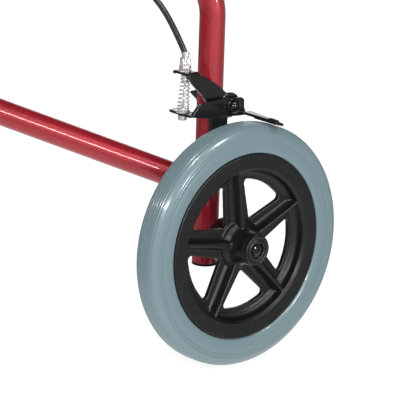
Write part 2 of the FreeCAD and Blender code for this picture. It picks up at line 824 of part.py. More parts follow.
# ---------------------------------------------------------------- handlebar
def handlebar():
    stem = cut(
        rod((0, "-head_back", "stem_low"), "column_bore - running_fit", "stem_high - stem_low"),
        rod((0, "-head_back", "stem_low"), "column_bore - stem_wall", "stem_high - stem_low"),
    )
    clamp_end = ("-stem_clamp_half", "-head_back", "bar_level")
    clamp = cut(
        fuse(
            rod(clamp_end, "bar_radius + 5", "stem_clamp_half * 2", X_AXIS),
            rod((0, "-head_back", "stem_high - stem_socket"), "column_bore + 3", "stem_socket + 4"),
        ),
        rod(clamp_end, "bar_radius", "stem_clamp_half * 2", X_AXIS),
        rod((0, "-head_back", "stem_high - stem_socket"), "column_bore - running_fit", "stem_socket"),
    )
    node("stem_tube", fuse(stem, clamp))
    high = S.bar_level + S.bar_rise
    bend_out = 96
    bend_in = 52
    right = [(-S.bar_half, high), (-bend_out, high), (-bend_in, S.bar_level)]
    left = [(-across, level) for across, level in reversed(right)]
    path = [Vector(across, HEAD_Y, level) for across, level in right + left]
    node("handlebar", pipe(path, [S.bar_bend] * 4, "bar_radius", "bar_wall"))
    level = "bar_level + bar_rise"
    grip_at = ("bar_half - grip_length", "-head_back", level)
    grip = cut(
        rod(grip_at, "grip_radius", "grip_length + 3", X_AXIS),
        rod(grip_at, "bar_radius", "grip_length", X_AXIS),
    )
    node("grips", group(grip, mirror(grip)))

    perch_at = ("perch_offset", "-head_back", level)
    housing = ("perch_offset", "-head_back - 34", f"{level} - perch_wide / 2")
    mouth = ("perch_offset + 2", "-head_back - 36", f"{level} - blade_thick / 2 - gap")
    pivot_at = ("perch_offset + 8", "-head_back - 27", f"{level} - blade_thick")
    perch = cut(
        fuse(
            rod(perch_at, "bar_radius + perch_wall", "perch_wide", X_AXIS),
            block(housing, "perch_wide", 22, "perch_wide"),
            rod(("perch_offset - 16", "-head_back - 27", level), 4, "perch_wide + 4", X_AXIS),
        ),
        rod(perch_at, "bar_radius", "perch_wide", X_AXIS),
        block(mouth, "perch_wide", 20, "blade_thick + gap * 2"),
        rod(pivot_at, "blade_pivot", "blade_thick * 2"),
    )
    blade = [
        ("perch_offset + 4", "-head_back - 32"),
        ("perch_offset + 4", "-head_back - 23"),
        ("perch_offset + 14", "-head_back - 22"),
        ("perch_offset + 28", "-head_back - 34"),
        ("perch_offset + 122", "-head_back - 44"),
        ("perch_offset + 126", "-head_back - 50"),
        ("perch_offset + 118", "-head_back - 55"),
        ("perch_offset + 24", "-head_back - 44"),
    ]
    lever = cut(
        plate("lever_blade", "XY_Plane", blade, "blade_thick", f"{level} - blade_thick / 2"),
        rod(pivot_at, "blade_pivot + running_fit", "blade_thick * 2"),
    )
    both("brake_lever", lever)
    pivot = rod(pivot_at, "blade_pivot", "blade_thick * 2")
    node("lever_perches", group(perch, pivot, mirror(perch), mirror(pivot)))


# ---------------------------------------------------------------- knee rest
def knee_rest():
    post = cut(
        rod((0, SEAT_Y, "post_low"), "seat_bore - running_fit", "post_high - post_low"),
        rod((0, SEAT_Y, "post_low"), "seat_bore - stem_wall", "post_high - post_low"),
    )
    bolt_x = S.plate_width / 2 - S.plate_bolt_edge
    bolt_y = S.plate_length / 2 - S.plate_bolt_edge
    bolt_holes = [
        rod((across, SEAT_Y + along, "post_high"), "plate_bolt", "plate_thick")
        for across in (-bolt_x, bolt_x)
        for along in (-bolt_y, bolt_y)
    ]
    slab_at = ("-plate_width / 2", f"{SEAT_Y} - plate_length / 2", "post_high")
    top = cut(block(slab_at, "plate_width", "plate_length", "plate_thick"), *bolt_holes)
    node("knee_post", fuse(post, top))
    board_low = "post_high + plate_thick"
    board = slab("board", "board_inset", "board_thick", "board_corner")
    node("knee_board", move(board, (0, SEAT_Y, board_low)))
    cushion = slab("cushion", 0, "cushion_thick", "cushion_corner")
    node("knee_cushion", move(cushion, (0, SEAT_Y, f"{board_low} + board_thick")))


def slab(name, inset, thick, radius):
    """A slab as large as the cushion less an inset, with its four upright edges rounded."""
    across = f"(cushion_width / 2 - {inset})"
    along = f"(cushion_length / 2 - {inset})"
    corners = [(f"-{across}", f"-{along}"), (across, f"-{along}"), (across, along), (f"-{across}", along)]
    body = new_body(name)
    flat = pad(body, sketch(body, "XY_Plane", corners), thick)
    doc.recompute()
    upright = []
    for number, edge in enumerate(flat.Shape.Edges, start=1):
        span = edge.BoundBox
        if max(span.XLength, span.YLength) < S.running_fit:
            upright.append(f"Edge{number}")
    soften = bind(body.newObject("PartDesign::Fillet", f"{name}_corners"), Radius=radius)
    soften.Base = (flat, upright)
    return body


# ---------------------------------------------------------------- rear brakes
def from_leg(out, back, level):
    """Formulas of a point measured outward and backward from the left leg's axis."""
    return (f"leg_gauge + {out}", f"half_wheelbase + {back}", level)


def on_pivot(out):
    """A place on the axis that the left brake arm rocks about."""
    return from_leg(out, "pivot_back", "pivot_level")


def on_cable(level):
    """A place on the upright end of the left brake cable."""
    return from_leg("cable_out", "-cable_front", level)


def leg_plate(name, corners, thick, out):
    """A plate square to X, its corners given as distances behind the leg and heights."""
    outline = [(f"half_wheelbase + {back}", level) for back, level in corners]
    return plate(name, "YZ_Plane", outline, thick, f"leg_gauge + {out}")


def brake_bracket():
    """Strap, cable tab, base and ear in one pressing, welded to the leg by a half band."""
    ear_outline = [
        ("leg_gauge - 21", 217.8),
        ("leg_gauge - 21", 216.6),
        ("leg_gauge - 9.5", 211),
        ("leg_gauge - 9.5", 221.5),
    ]
    base_outline = [(-8, 155), (8.5, 155), (8.5, 203), (14, 205), (12, 221), (-4, 219), (-8, 212)]
    strap_outline = [(-33.5, 239), (-14, 216.5), (6, 215), (3.5, 222.5), (-20.5, 242)]
    tab_wide = 11
    tab_at = from_leg(-4, "-cable_front - 5", "barrel_low - band_wall")
    front_half = from_leg("-side_room", "-side_room - 2", "band_low - 1")
    band = cut(
        ring(from_leg(0, 0, "band_low"), "tube_radius + band_wall", "tube_radius", "band_high"),
        block(front_half, "side_room * 2", "side_room", "band_high + 2"),
    )
    solid = fuse(
        leg_plate("bracket_base", base_outline, "bracket_thick", "bracket_out"),
        rod(on_pivot("bracket_out"), "lug_radius", "bracket_thick", X_AXIS),
        leg_plate("bracket_strap", strap_outline, "bracket_thick", "bracket_out"),
        block(tab_at, "tube_radius + 6.8", tab_wide, "band_wall"),
        plate("bracket_ear", "XZ_Plane", ear_outline, "bracket_thick", "-half_wheelbase - 1"),
        band,
    )
    cable_hole = rod(on_cable("barrel_low - 6"), "cable_radius + gap", "tube_radius")
    pivot_hole = rod(on_pivot("bracket_out - 3"), "pivot_radius", 8, X_AXIS)
    both("brake_bracket", cut(solid, leg_core("side_height"), cable_hole, pivot_hole))


def brake_arm():
    """Rocking arm with a front tab for the cable and a rear tab for the pad."""
    flank_outline = [
        (-34, 207.5),
        (-20, 205),
        (19.6, 202.2),
        (25, 202.2),
        (22, 210),
        (21.9, 215.5),
        (19.5, 217.3),
        (1.6, 219),
        (-16.5, 218.5),
        (-27, 216),
    ]
    arm = fuse(
        leg_plate("arm_flank", flank_outline, "arm_plate", "arm_out"),
        block(from_leg("-tube_radius", -36, 207), "tube_radius + arm_out + arm_plate", 11.5, "arm_tab_thick"),
        block(from_leg("arm_out", 22, 202.2), 47, 14, "arm_tab_thick"),
    )
    bore = rod(on_pivot("bracket_out"), "pivot_radius + running_fit", 12, X_AXIS)
    slot = rod(on_cable(200), 2, 16)
    both("brake_arm", cut(arm, bore, slot))
    rubber = block(from_leg("pad_out", 22.8, 199.2), "pad_long", "pad_deep", "pad_thick")
    wheel_room = rod(rear_axis("pad_out + leg_gauge - 5"), "wheel_radius + 1.4", "pad_long * 2", X_AXIS)
    both("brake_pad", cut(rubber, wheel_room))
    bolt = fuse(
        rod(on_pivot("bracket_out - 1"), "pivot_radius", 10, X_AXIS),
        rod(on_pivot("arm_out + arm_plate + gap"), "pivot_head", "pivot_head_thick", X_AXIS),
    )
    node("brake_pivots", group(bolt, mirror(bolt)))


def brake_fittings():
    """Barrel adjuster, cable stop and return spring, all on the cable's last upright run."""
    barrel = cut(
        fuse(
            rod(on_cable("barrel_low"), 5, "barrel_foot"),
            rod(on_cable("barrel_low + barrel_foot"), 4.2, "barrel_high"),
            rod(on_cable("barrel_low - 7"), "cable_radius + gap", 7),
        ),
        rod(on_cable("barrel_low - 12"), 1, 40),
    )
    node("cable_adjusters", group(barrel, mirror(barrel)))
    both("cable_stop", rod(on_cable(202), "stop_radius", "stop_high"))
    turns = bind(
        doc.addObject("Part::Helix", "spring_line"),
        Pitch="spring_pitch",
        Height="spring_high",
        Radius="spring_radius",
    )
    move(turns, on_cable("spring_low"))
    section = bind(doc.addObject("Part::Circle", "spring_section"), Radius="spring_wire")
    section.Placement.Rotation = FreeCAD.Rotation(X_AXIS, 90)
    move(section, from_leg("cable_out + spring_radius", "-cable_front", "spring_low"))
    spring = doc.addObject("Part::Sweep", "spring_coil")
    spring.Sections = [section]
    spring.Spine = (turns, ["Edge1"])
    spring.Solid = True
    spring.Frenet = True
    both("brake_spring", spring)


# ---------------------------------------------------------------- brake cables
CABLE_ROUTE = [
    (203.0, 249.5, 257),
    (196.0, 241.5, 281),
    (185.0, 229.8, 304.5),
    (165.9, 211.3, 327),
    (139.2, 184.2, 342),
    (106.6, 148.9, 350),
    (74.3, 110.8, 353),
    (48.9, 73.1, 347),
    (33.2, 40.3, 331),
    (24.0, 2.0, 312),
    (21.0, -48.0, 303),
    (20.5, -100.0, 299),
    (21.5, -150.0, 297),
    (25.0, -194.0, 300),
    (29.5, -230.0, 314),
    (33.0, -254.0, 344),
    (34.0, -264.0, 390),
    (33.0, -269.0, 445),
    (33.5, -268.0, 505),
    (32.0, -269.5, 565),
    (30.0, -270.0, 625),
    (27.5, -278.0, 685),
    (23.0, -290.0, 742),
    (21.0, -300.0, 797),
    (27.0, -303.0, 845),
    (47.0, -284.0, 877),
    (72.0, -262.0, 885),
    (96.0, -262.0, 885),
]


def cables():
    points = [Vector(*point) for point in CABLE_ROUTE]
    runs = [(after - before).Length for before, after in zip(points, points[1:])]
    radii = []
    for index in range(1, len(points) - 1):
        inward = points[index] - points[index - 1]
        outward = points[index + 1] - points[index]
        half_turn = inward.getAngle(outward) / 2
        radii.append(0.45 * min(runs[index - 1], runs[index]) / math.tan(half_turn))
    print("tightest cable bend", round(min(radii), 1), "mm")
    wire = rod(on_cable(206.8), "wire_radius", 52)
    both("brake_cable", fuse(sweep(points, radii, "cable_radius"), wire))


# ---------------------------------------------------------------- the scooter
rear_frame()
front_frame()
wheels()
knuckle()
steering()
tie_rod()
column()
clamp_lever("column_lever", HEAD_Y + 24, S.column_high - 12)
handlebar()
knee_rest()
clamp_lever("post_lever", SEAT_Y - 26, S.seat_high + 11)
brake_bracket()
brake_arm()
brake_fittings()
cables()

doc.recompute()
for item in doc.Objects:
    if "Invalid" in item.State or "Error" in item.State:
        raise RuntimeError(f"{item.Label} failed: {item.State}")
for item in nodes:
    if item.Shape.isNull() or not item.Shape.isValid() or not item.Shape.Solids:
        raise RuntimeError(f"{item.Label} has no valid solid")
    print(item.Label, len(item.Shape.Solids), round(item.Shape.Volume))

os.makedirs("parts", exist_ok=True)
for item in nodes:
    item.Shape.exportStep(f"parts/{item.Label}.step")
print(len(nodes), "nodes")
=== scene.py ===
import json
from math import atan2, cos, exp, pi, radians, sin, sqrt, tan

import bmesh
import bpy
from mathutils import Matrix, Vector, geometry
from mathutils.bvhtree import BVHTree


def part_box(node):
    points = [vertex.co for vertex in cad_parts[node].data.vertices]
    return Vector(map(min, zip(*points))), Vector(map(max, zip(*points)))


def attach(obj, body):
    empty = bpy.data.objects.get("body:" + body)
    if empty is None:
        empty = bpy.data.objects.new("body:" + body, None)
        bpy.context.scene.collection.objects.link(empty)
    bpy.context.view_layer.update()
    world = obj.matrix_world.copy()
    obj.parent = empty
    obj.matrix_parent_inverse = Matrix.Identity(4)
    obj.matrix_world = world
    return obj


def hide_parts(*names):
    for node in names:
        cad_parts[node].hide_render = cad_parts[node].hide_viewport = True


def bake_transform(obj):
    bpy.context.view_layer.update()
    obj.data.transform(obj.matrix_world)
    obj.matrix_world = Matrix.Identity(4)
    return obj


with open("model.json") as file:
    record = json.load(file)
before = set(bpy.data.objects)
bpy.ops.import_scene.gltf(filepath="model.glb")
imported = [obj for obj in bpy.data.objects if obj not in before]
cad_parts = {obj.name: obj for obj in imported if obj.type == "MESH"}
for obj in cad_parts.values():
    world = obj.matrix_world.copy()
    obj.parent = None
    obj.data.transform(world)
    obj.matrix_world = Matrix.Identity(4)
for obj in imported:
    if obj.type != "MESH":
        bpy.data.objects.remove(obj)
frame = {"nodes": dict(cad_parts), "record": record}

# Looks of a four-wheeled knee scooter. Metres, +Z up, the rider faces -Y and the rider's left is +X.
# Small sizes are written in millimetres and multiplied by MM.
MM = 0.001
X = Vector((1, 0, 0))
Y = Vector((0, 1, 0))
Z = Vector((0, 0, 1))
SIDES = ((1, "left"), (-1, "right"))

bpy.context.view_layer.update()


# ======== places read from the frame
def middle(node):
    low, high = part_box(node)
    return (low + high) / 2


plug_low, plug_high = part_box("leg_plugs")
TUBE_RADIUS = (plug_high.y - plug_low.y) / 2
LEG = Vector((plug_high.x - TUBE_RADIUS, (plug_low.y + plug_high.y) / 2, plug_low.z))
REAR_WHEEL = middle("rear_tyre_left")
FRONT_WHEEL = middle("front_tyre_left")
TYRE_RADIUS = 101.5
SEAT = middle("seat_tube")
HEAD = middle("head_tube")


def by_leg(out, back, level):
    """A point from millimetres outward and backward of the left leg's axis, and a height in millimetres."""
    return Vector((LEG.x + out * MM, LEG.y + back * MM, level * MM))


# ======== mesh helpers
def mesh_of(name, points, faces):
    mesh = bpy.data.meshes.new(name)
    mesh.from_pydata([tuple(point) for point in points], [], faces)
    return welded(mesh)


def welded(mesh, reach=1e-6):
    """The mesh with doubled points merged and its faces turned outward."""
    shape = bmesh.new()
    shape.from_mesh(mesh)
    bmesh.ops.remove_doubles(shape, verts=shape.verts, dist=reach)
    bmesh.ops.recalc_face_normals(shape, faces=shape.faces)
    shape.to_mesh(mesh)
    shape.free()
    return mesh


def joined(name, meshes):
    shape = bmesh.new()
    for mesh in meshes:
        shape.from_mesh(mesh)
    whole = bpy.data.meshes.new(name)
    shape.to_mesh(whole)
    shape.free()
    return whole


def moved(mesh, matrix):
    twin = mesh.copy()
    twin.transform(matrix)
    if matrix.determinant() < 0:
        twin.flip_normals()
    return twin


def shifted(mesh, offset):
    return moved(mesh, Matrix.Translation(offset))


def mirrored(mesh):
    return moved(mesh, Matrix.Diagonal((-1, 1, 1, 1)))


def sided(mesh, side):
    """A copy of a left-hand mesh for either side."""
    return mesh.copy() if side > 0 else mirrored(mesh)


def linked(name, data):
    """A new object in the scene."""
    made = bpy.data.objects.new(name, data)
    bpy.context.collection.objects.link(made)
    return made


def rounded(corners, steps=4):
    """Points of a closed outline whose corners are (u, v, radius of the corner's arc)."""
    points = []
    for index, (u, v, radius) in enumerate(corners):
        here = Vector((u, v))
        if radius == 0:
            points.append(here)
            continue
        back = Vector(corners[index - 1][:2]) - here
        ahead = Vector(corners[(index + 1) % len(corners)][:2]) - here
        half = back.angle(ahead) / 2
        reach = min(radius / tan(half), 0.49 * back.length, 0.49 * ahead.length)
        arc = reach * tan(half)
        centre = here + (back.normalized() + ahead.normalized()).normalized() * (arc / sin(half))
        first = here + back.normalized() * reach - centre
        final = here + ahead.normalized() * reach - centre
        start = atan2(first.y, first.x)
        turn = (atan2(final.y, final.x) - start + pi) % (2 * pi) - pi
        for step in range(steps + 1):
            angle = start + turn * step / steps
            points.append(centre + arc * Vector((cos(angle), sin(angle))))
    return points


def shaped(corners, **how):
    """A rounded outline in metres from corners in millimetres."""
    return [point * MM for point in rounded(corners, **how)]


def oblong(half_u, half_v, radius):
    """The corners of a rounded rectangle about the origin."""
    return [(u * half_u, v * half_v, radius) for u, v in ((-1, -1), (1, -1), (1, 1), (-1, 1))]


def frame_of(axis):
    """Two directions square to an axis."""
    axis = Vector(axis).normalized()
    side = axis.cross(Z if abs(axis.z) < 0.9 else X).normalized()
    return side, axis.cross(side)


def about(side, up, turn):
    """The direction that lies a turn away from side, towards up."""
    return side * cos(turn) + up * sin(turn)


def circle(centre, side, up, radius, sides):
    return [centre + radius * about(side, up, 2 * pi * k / sides) for k in range(sides)]


def quads(rows, size, ring=False, closed=True):
    """Faces between neighbouring rows of points, round to the first row when they form a ring."""
    faces = []
    for row in range(rows if ring else rows - 1):
        low = row * size
        high = (row + 1) % rows * size
        for k in range(size if closed else size - 1):
            after = (k + 1) % size
            faces.append((low + k, low + after, high + after, high + k))
    return faces


def lathe(profile, centre, axis=X, steps=64, closed=True, flutes=0, depth=0.0):
    """A turned solid from (along, radius) points; flutes cut shallow grooves along its axis."""
    side, up = frame_of(axis)
    points = []
    for step in range(steps):
        turn = 2 * pi * step / steps
        groove = 1 - depth * (0.5 - 0.5 * cos(flutes * turn))
        spoke = about(side, up, turn)
        points += [centre + Vector(axis) * along + spoke * radius * groove for along, radius in profile]
    return mesh_of("turned", points, quads(steps, len(profile), True, closed))


def flat_plate(outline, thick, edge, holes=()):
    """A plate in the XY plane about Z = 0, with rounded rims and any holes."""
    curve = bpy.data.curves.new("plate", "CURVE")
    curve.dimensions = "2D"
    curve.fill_mode = "BOTH"
    curve.extrude = thick / 2 - edge
    curve.bevel_depth = edge
    curve.bevel_resolution = 2
    curve.offset = -edge
    for loop in (outline, *holes):
        spline = curve.splines.new("POLY")
        spline.points.add(len(loop) - 1)
        for point, (across, up) in zip(spline.points, loop):
            point.co = (across, up, 0, 1)
        spline.use_cyclic_u = True
    holder = bpy.data.objects.new("plate", curve)
    mesh = bpy.data.meshes.new_from_object(holder)
    bpy.data.objects.remove(holder)
    return welded(mesh)


def axes_at(origin, first, second, third):
    """The matrix that puts a mesh's X, Y and Z along three directions at an origin."""
    matrix = Matrix((first, second, third)).transposed().to_4x4()
    matrix.translation = origin
    return matrix


def tube_mesh(points, radius, sides=20, ends=True):
    """A round bar along many points, without twist."""
    points = [Vector(point) for point in points]
    last = len(points) - 1
    rows = []
    for index, point in enumerate(points):
        tangent = (points[min(index + 1, last)] - points[max(index - 1, 0)]).normalized()
        if index == 0:
            side, _ = frame_of(tangent)
        side = (side - tangent * side.dot(tangent)).normalized()
        rows += circle(point, side, tangent.cross(side), radius, sides)
    faces = quads(len(points), sides)
    if ends:
        faces.append(tuple(range(sides)))
        faces.append(tuple(range(len(rows) - 1, len(rows) - 1 - sides, -1)))
    return mesh_of("bar", rows, faces)


def loop_mesh(points, radii, sides=10):
    """A closed ring of round section along a closed list of points."""
    rows = []
    for index, point in enumerate(points):
        tangent = (points[(index + 1) % len(points)] - points[index - 1]).normalized()
        rows += circle(point, *frame_of(tangent), radii[index], sides)
    return mesh_of("ring", rows, quads(len(points), sides, True))


def applied(mesh, *modifiers):
    """The mesh after modifiers, each given as (kind, properties)."""
    holder = linked("holder", mesh)
    for kind, properties in modifiers:
        modifier = holder.modifiers.new(kind, kind)
        for name, value in properties.items():
            setattr(modifier, name, value)
    seen = holder.evaluated_get(bpy.context.evaluated_depsgraph_get())
    result = bpy.data.meshes.new_from_object(seen)
    bpy.data.objects.remove(holder)
    return result


def moulded(mesh, voxel, passes, keep=1.0):
    """One closed skin round overlapping solids, with its edges and inner corners softened."""
    steps = [
        ("REMESH", {"mode": "VOXEL", "voxel_size": voxel}),
        ("SMOOTH", {"factor": 0.5, "iterations": passes}),
    ]
    if keep < 1:
        steps.append(("DECIMATE", {"ratio": keep}))
    return applied(mesh, *steps)


def piece(name, mesh, finish, body, slot, *nodes, sharp=35):
    """A finished mesh as an object that rides on a body and may stand for CAD nodes."""
    made = linked(name, mesh)
    mesh.materials.clear()
    mesh.materials.append(finish)
    mesh.shade_smooth()
    mesh.set_sharp_from_angle(angle=radians(sharp))
    if body:
        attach(made, body)
    if nodes:
        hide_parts(*nodes)
    return made


def softened(node, width, angle=28):
    """A CAD node's mesh with its sharp edges rounded."""
    mesh = frame["nodes"][node].data.copy()
    shape = bmesh.new()
    shape.from_mesh(mesh)
    bmesh.ops.remove_doubles(shape, verts=shape.verts, dist=2e-6)
    bmesh.ops.dissolve_limit(
        shape, angle_limit=radians(1), verts=shape.verts, edges=shape.edges, delimit={"NORMAL"}
    )
    bmesh.ops.dissolve_degenerate(shape, dist=1e-5, edges=shape.edges)
    clean = bpy.data.meshes.new(node)
    shape.to_mesh(clean)
    shape.free()
    rounding = {
        "width": width,
        "segments": 2,
        "limit_method": "ANGLE",
        "angle_limit": radians(angle),
        "use_clamp_overlap": True,
        "harden_normals": False,
    }
    return applied(clean, ("BEVEL", rounding))


def add_node(tree, kind, inputs, **properties):
    """A new node whose inputs are numbers, colours or the sockets that feed them."""
    made = tree.nodes.new(kind)
    for name, value in properties.items():
        setattr(made, name, value)
    for name, value in inputs.items():
        if isinstance(value, bpy.types.NodeSocket):
            tree.links.new(value, made.inputs[name])
        else:
            made.inputs[name].default_value = value
    return made


# ======== finishes
class Finish:
    """A Principled material and the procedural nodes that feed it."""

    def __init__(self, name, color, **sockets):
        self.material = bpy.data.materials.new(name)
        self.material.use_nodes = True
        self.nodes = self.material.node_tree.nodes
        self.links = self.material.node_tree.links
        self.shader = self.nodes["Principled BSDF"]
        self.shader.inputs["Base Color"].default_value = (*color, 1)
        for label, value in sockets.items():
            self.shader.inputs[label.replace("_", " ")].default_value = value
        self.place = self.nodes.new("ShaderNodeTexCoord").outputs["Object"]

    def add(self, kind, inputs, **properties):
        return add_node(self.material.node_tree, kind, inputs, **properties)

    def noise(self, scale, detail):
        inputs = {"Vector": self.place, "Scale": scale, "Detail": detail, "Roughness": 0.55}
        return self.add("ShaderNodeTexNoise", inputs).outputs["Fac"]

    def cells(self, scale, output="Color", feature="F1"):
        inputs = {"Vector": self.place, "Scale": scale}
        return self.add("ShaderNodeTexVoronoi", inputs, feature=feature).outputs[output]

    def spread(self, value, low, high, out_low=0, out_high=1):
        inputs = {0: value, 1: low, 2: high, 3: out_low, 4: out_high}
        return self.add("ShaderNodeMapRange", inputs).outputs[0]

    def patches(self, scale, detail, low=0.35, high=0.7, most=1):
        """Soft patches that range from 0 to most."""
        return self.spread(self.noise(scale, detail), low, high, 0, most)

    def math(self, first, second, operation="ADD"):
        return self.add("ShaderNodeMath", {0: first, 1: second}, operation=operation).outputs[0]

    def blend(self, factor, first, second):
        colors = [(*value, 1) if isinstance(value, tuple) else value for value in (first, second)]
        inputs = {0: factor, 6: colors[0], 7: colors[1]}
        return self.add("ShaderNodeMix", inputs, data_type="RGBA").outputs[2]

    def tint(self, factor, first, second):
        self.links.new(self.blend(factor, first, second), self.shader.inputs["Base Color"])

    def rough(self, scale, detail, low, high):
        value = self.spread(self.noise(scale, detail), 0.3, 0.7, low, high)
        self.links.new(value, self.shader.inputs["Roughness"])

    def bump(self, height, distance, strength):
        inputs = {"Height": height, "Distance": distance, "Strength": strength}
        normal = self.add("ShaderNodeBump", inputs).outputs["Normal"]
        self.links.new(normal, self.shader.inputs["Normal"])

    def worn(self, amount, tone, bare, low=0.53, high=0.62):
        """The tone, rubbed towards bare in patches along convex edges."""
        point = self.nodes.new("ShaderNodeNewGeometry").outputs["Pointiness"]
        edge = self.math(self.spread(point, low, high), self.patches(90, 4, 0.4, 0.62), "MULTIPLY")
        self.tint(self.math(edge, amount, "MULTIPLY"), tone, bare)


def red_enamel():
    """Candy red over fine metal flake, under a clear coat."""
    paint = Finish("red_enamel", (0.42, 0.012, 0.03), Metallic=0.35, Coat_Weight=1.0, Coat_Roughness=0.03,
                   Coat_IOR=1.5, Roughness=0.34)
    flake = paint.add("ShaderNodeSeparateColor", {0: paint.cells(1500)}).outputs[0]
    base = paint.blend(flake, (0.24, 0.0025, 0.009), (0.49, 0.009, 0.028))
    paint.tint(paint.patches(14, 4, 0.3, 0.7, 0.35), base, (0.28, 0.0025, 0.012))
    paint.rough(45, 4, 0.30, 0.40)
    paint.bump(flake, 0.00012, 0.35)
    return paint.material


def powder_coat():
    """Satin black powder coat with a fine orange peel, rubbed thin at its edges."""
    coat = Finish("powder_coat", (0.007, 0.0075, 0.008), Roughness=0.34, Specular_IOR_Level=0.28)
    tone = coat.blend(coat.patches(60, 5), (0.006, 0.0065, 0.007), (0.012, 0.0125, 0.013))
    coat.worn(0.3, tone, (0.10, 0.10, 0.105))
    coat.rough(160, 3, 0.27, 0.42)
    coat.bump(coat.noise(1400, 2), 0.00010, 0.35)
    return coat.material


def gloss_coat():
    """Glossy black powder coat of the brake pressings, with a shallow orange peel."""
    coat = Finish("gloss_coat", (0.004, 0.0042, 0.0045), Roughness=0.3, Specular_IOR_Level=0.25,
                  Coat_Weight=0.8, Coat_Roughness=0.1)
    tone = coat.blend(coat.patches(70, 5), (0.003, 0.0032, 0.0035), (0.006, 0.0062, 0.0065))
    coat.worn(0.4, tone, (0.14, 0.14, 0.145))
    coat.rough(180, 3, 0.24, 0.38)
    coat.bump(coat.noise(900, 2), 0.00008, 0.3)
    return coat.material


def gloss_black():
    """Smooth black plated steel, as on bolt heads."""
    plate = Finish("gloss_black", (0.005, 0.005, 0.006), Roughness=0.3, Specular_IOR_Level=0.04,
                   Coat_Weight=0.8, Coat_Roughness=0.02)
    plate.worn(0.5, (0.005, 0.005, 0.006), (0.06, 0.06, 0.062))
    plate.rough(420, 3, 0.24, 0.36)
    plate.bump(plate.noise(300, 2), 0.00001, 0.1)
    return plate.material


def zinc_plate():
    """Bright zinc with faint blue and straw tints."""
    zinc = Finish("zinc_plate", (0.84, 0.86, 0.88), Metallic=0.8, Roughness=0.26)
    zinc.tint(zinc.patches(120, 4, 0.35, 0.65), (0.80, 0.82, 0.85), (0.87, 0.88, 0.87))
    zinc.rough(60, 3, 0.20, 0.27)
    zinc.bump(zinc.noise(220, 2), 0.00001, 0.1)
    return zinc.material


def rim_nylon():
    """Satin black glass-filled nylon with a fine moulded grain."""
    nylon = Finish("rim_nylon", (0.006, 0.0063, 0.0065), Roughness=0.36, Specular_IOR_Level=0.4)
    tone = nylon.blend(nylon.patches(28, 5), (0.0035, 0.0037, 0.0038), (0.006, 0.0063, 0.0065))
    nylon.worn(0.2, tone, (0.05, 0.052, 0.054), 0.52, 0.6)
    nylon.rough(240, 4, 0.30, 0.44)
    nylon.bump(nylon.noise(1100, 3), 0.00016, 0.35)
    return nylon.material


def grey_tyre():
    """Smooth blue-grey polyurethane, very faintly mottled."""
    tyre = Finish("grey_tyre", (0.20, 0.27, 0.29), Roughness=0.28, Specular_IOR_Level=0.4, Coat_Weight=0.5,
                  Coat_Roughness=0.1)
    tyre.tint(tyre.patches(14, 2, 0.3, 0.72), (0.150, 0.219, 0.243), (0.158, 0.227, 0.251))
    tyre.rough(6, 1, 0.25, 0.28)
    return tyre.material


def black_rubber():
    """Matt black rubber with a little dust."""
    rubber = Finish("black_rubber", (0.008, 0.008, 0.009), Roughness=0.62, Specular_IOR_Level=0.25)
    rubber.tint(rubber.patches(70, 5, 0.4, 0.75, 0.6), (0.006, 0.006, 0.007), (0.018, 0.018, 0.017))
    rubber.rough(300, 3, 0.58, 0.78)
    rubber.bump(rubber.noise(900, 3), 0.0002, 0.4)
    return rubber.material


def vinyl_sheath():
    """Glossy black cable sheath."""
    sheath = Finish("vinyl_sheath", (0.012, 0.012, 0.013), Roughness=0.24)
    sheath.tint(sheath.patches(130, 5, 0.45, 0.75, 0.5), (0.010, 0.010, 0.011), (0.035, 0.035, 0.037))
    sheath.rough(260, 4, 0.18, 0.36)
    sheath.bump(sheath.noise(500, 2), 0.00008, 0.3)
    return sheath.material


def grip_foam():
    """Closed-cell black foam, open-pored, each pore's hollow darkened with painted shade."""
    foam = Finish("grip_foam", (0.022, 0.022, 0.023), Roughness=0.9, Specular_IOR_Level=0.25,
                  Sheen_Weight=0.25, Sheen_Roughness=0.5)
    pore_relief_and_shade = foam.cells(1300, "Distance")
    # painted shade: the tint darkens each pore's hollow, where the bump sinks
    foam.tint(foam.spread(pore_relief_and_shade, 0.05, 0.5), (0.010, 0.010, 0.011), (0.036, 0.036, 0.038))
    foam.rough(300, 3, 0.82, 0.96)
    foam.bump(foam.math(pore_relief_and_shade, foam.noise(500, 3)), 0.0004, 0.5)
    return foam.material


def cushion_vinyl():
    """Black upholstery vinyl with a pebbled leather grain, darkened with painted shade in the grain's sunken
    folds.
    """
    vinyl = Finish("cushion_vinyl", (0.022, 0.022, 0.024), Roughness=0.44, Specular_IOR_Level=0.5)
    crease_relief_and_shade = vinyl.spread(vinyl.cells(420, "Distance", "DISTANCE_TO_EDGE"), 0.0, 0.16)
    tone = vinyl.blend(vinyl.patches(18, 5), (0.019, 0.019, 0.021), (0.032, 0.032, 0.034))
    # painted shade: the tint darkens the grain's sunken folds, where the bump sinks
    vinyl.tint(crease_relief_and_shade, (0.010, 0.010, 0.011), tone)
    vinyl.rough(60, 4, 0.38, 0.52)
    vinyl.bump(vinyl.math(crease_relief_and_shade, vinyl.noise(900, 3)), 0.00022, 0.5)
    return vinyl.material


def thread():
    """Twisted charcoal sewing thread, with painted shade: darker where its bump sinks between the strands."""
    yarn = Finish("seam_thread", (0.08, 0.08, 0.085), Roughness=0.75, Sheen_Weight=0.3)
    twist_relief_and_shade = yarn.noise(2200, 2)
    # painted shade: the tint is darker where the bump sinks between the strands
    yarn.tint(yarn.spread(twist_relief_and_shade, 0.35, 0.65), (0.05, 0.05, 0.055), (0.13, 0.13, 0.135))
    yarn.bump(twist_relief_and_shade, 0.0002, 0.5)
    return yarn.material


def moulded_board():
    """Black board with a pebbled moulded skin."""
    board = Finish("moulded_board", (0.03, 0.03, 0.031), Roughness=0.55)
    board.tint(board.patches(40, 4, 0.3, 0.7), (0.022, 0.022, 0.023), (0.04, 0.04, 0.042))
    board.rough(200, 3, 0.48, 0.64)
    board.bump(board.cells(700, "Distance"), 0.0003, 0.4)
    return board.material


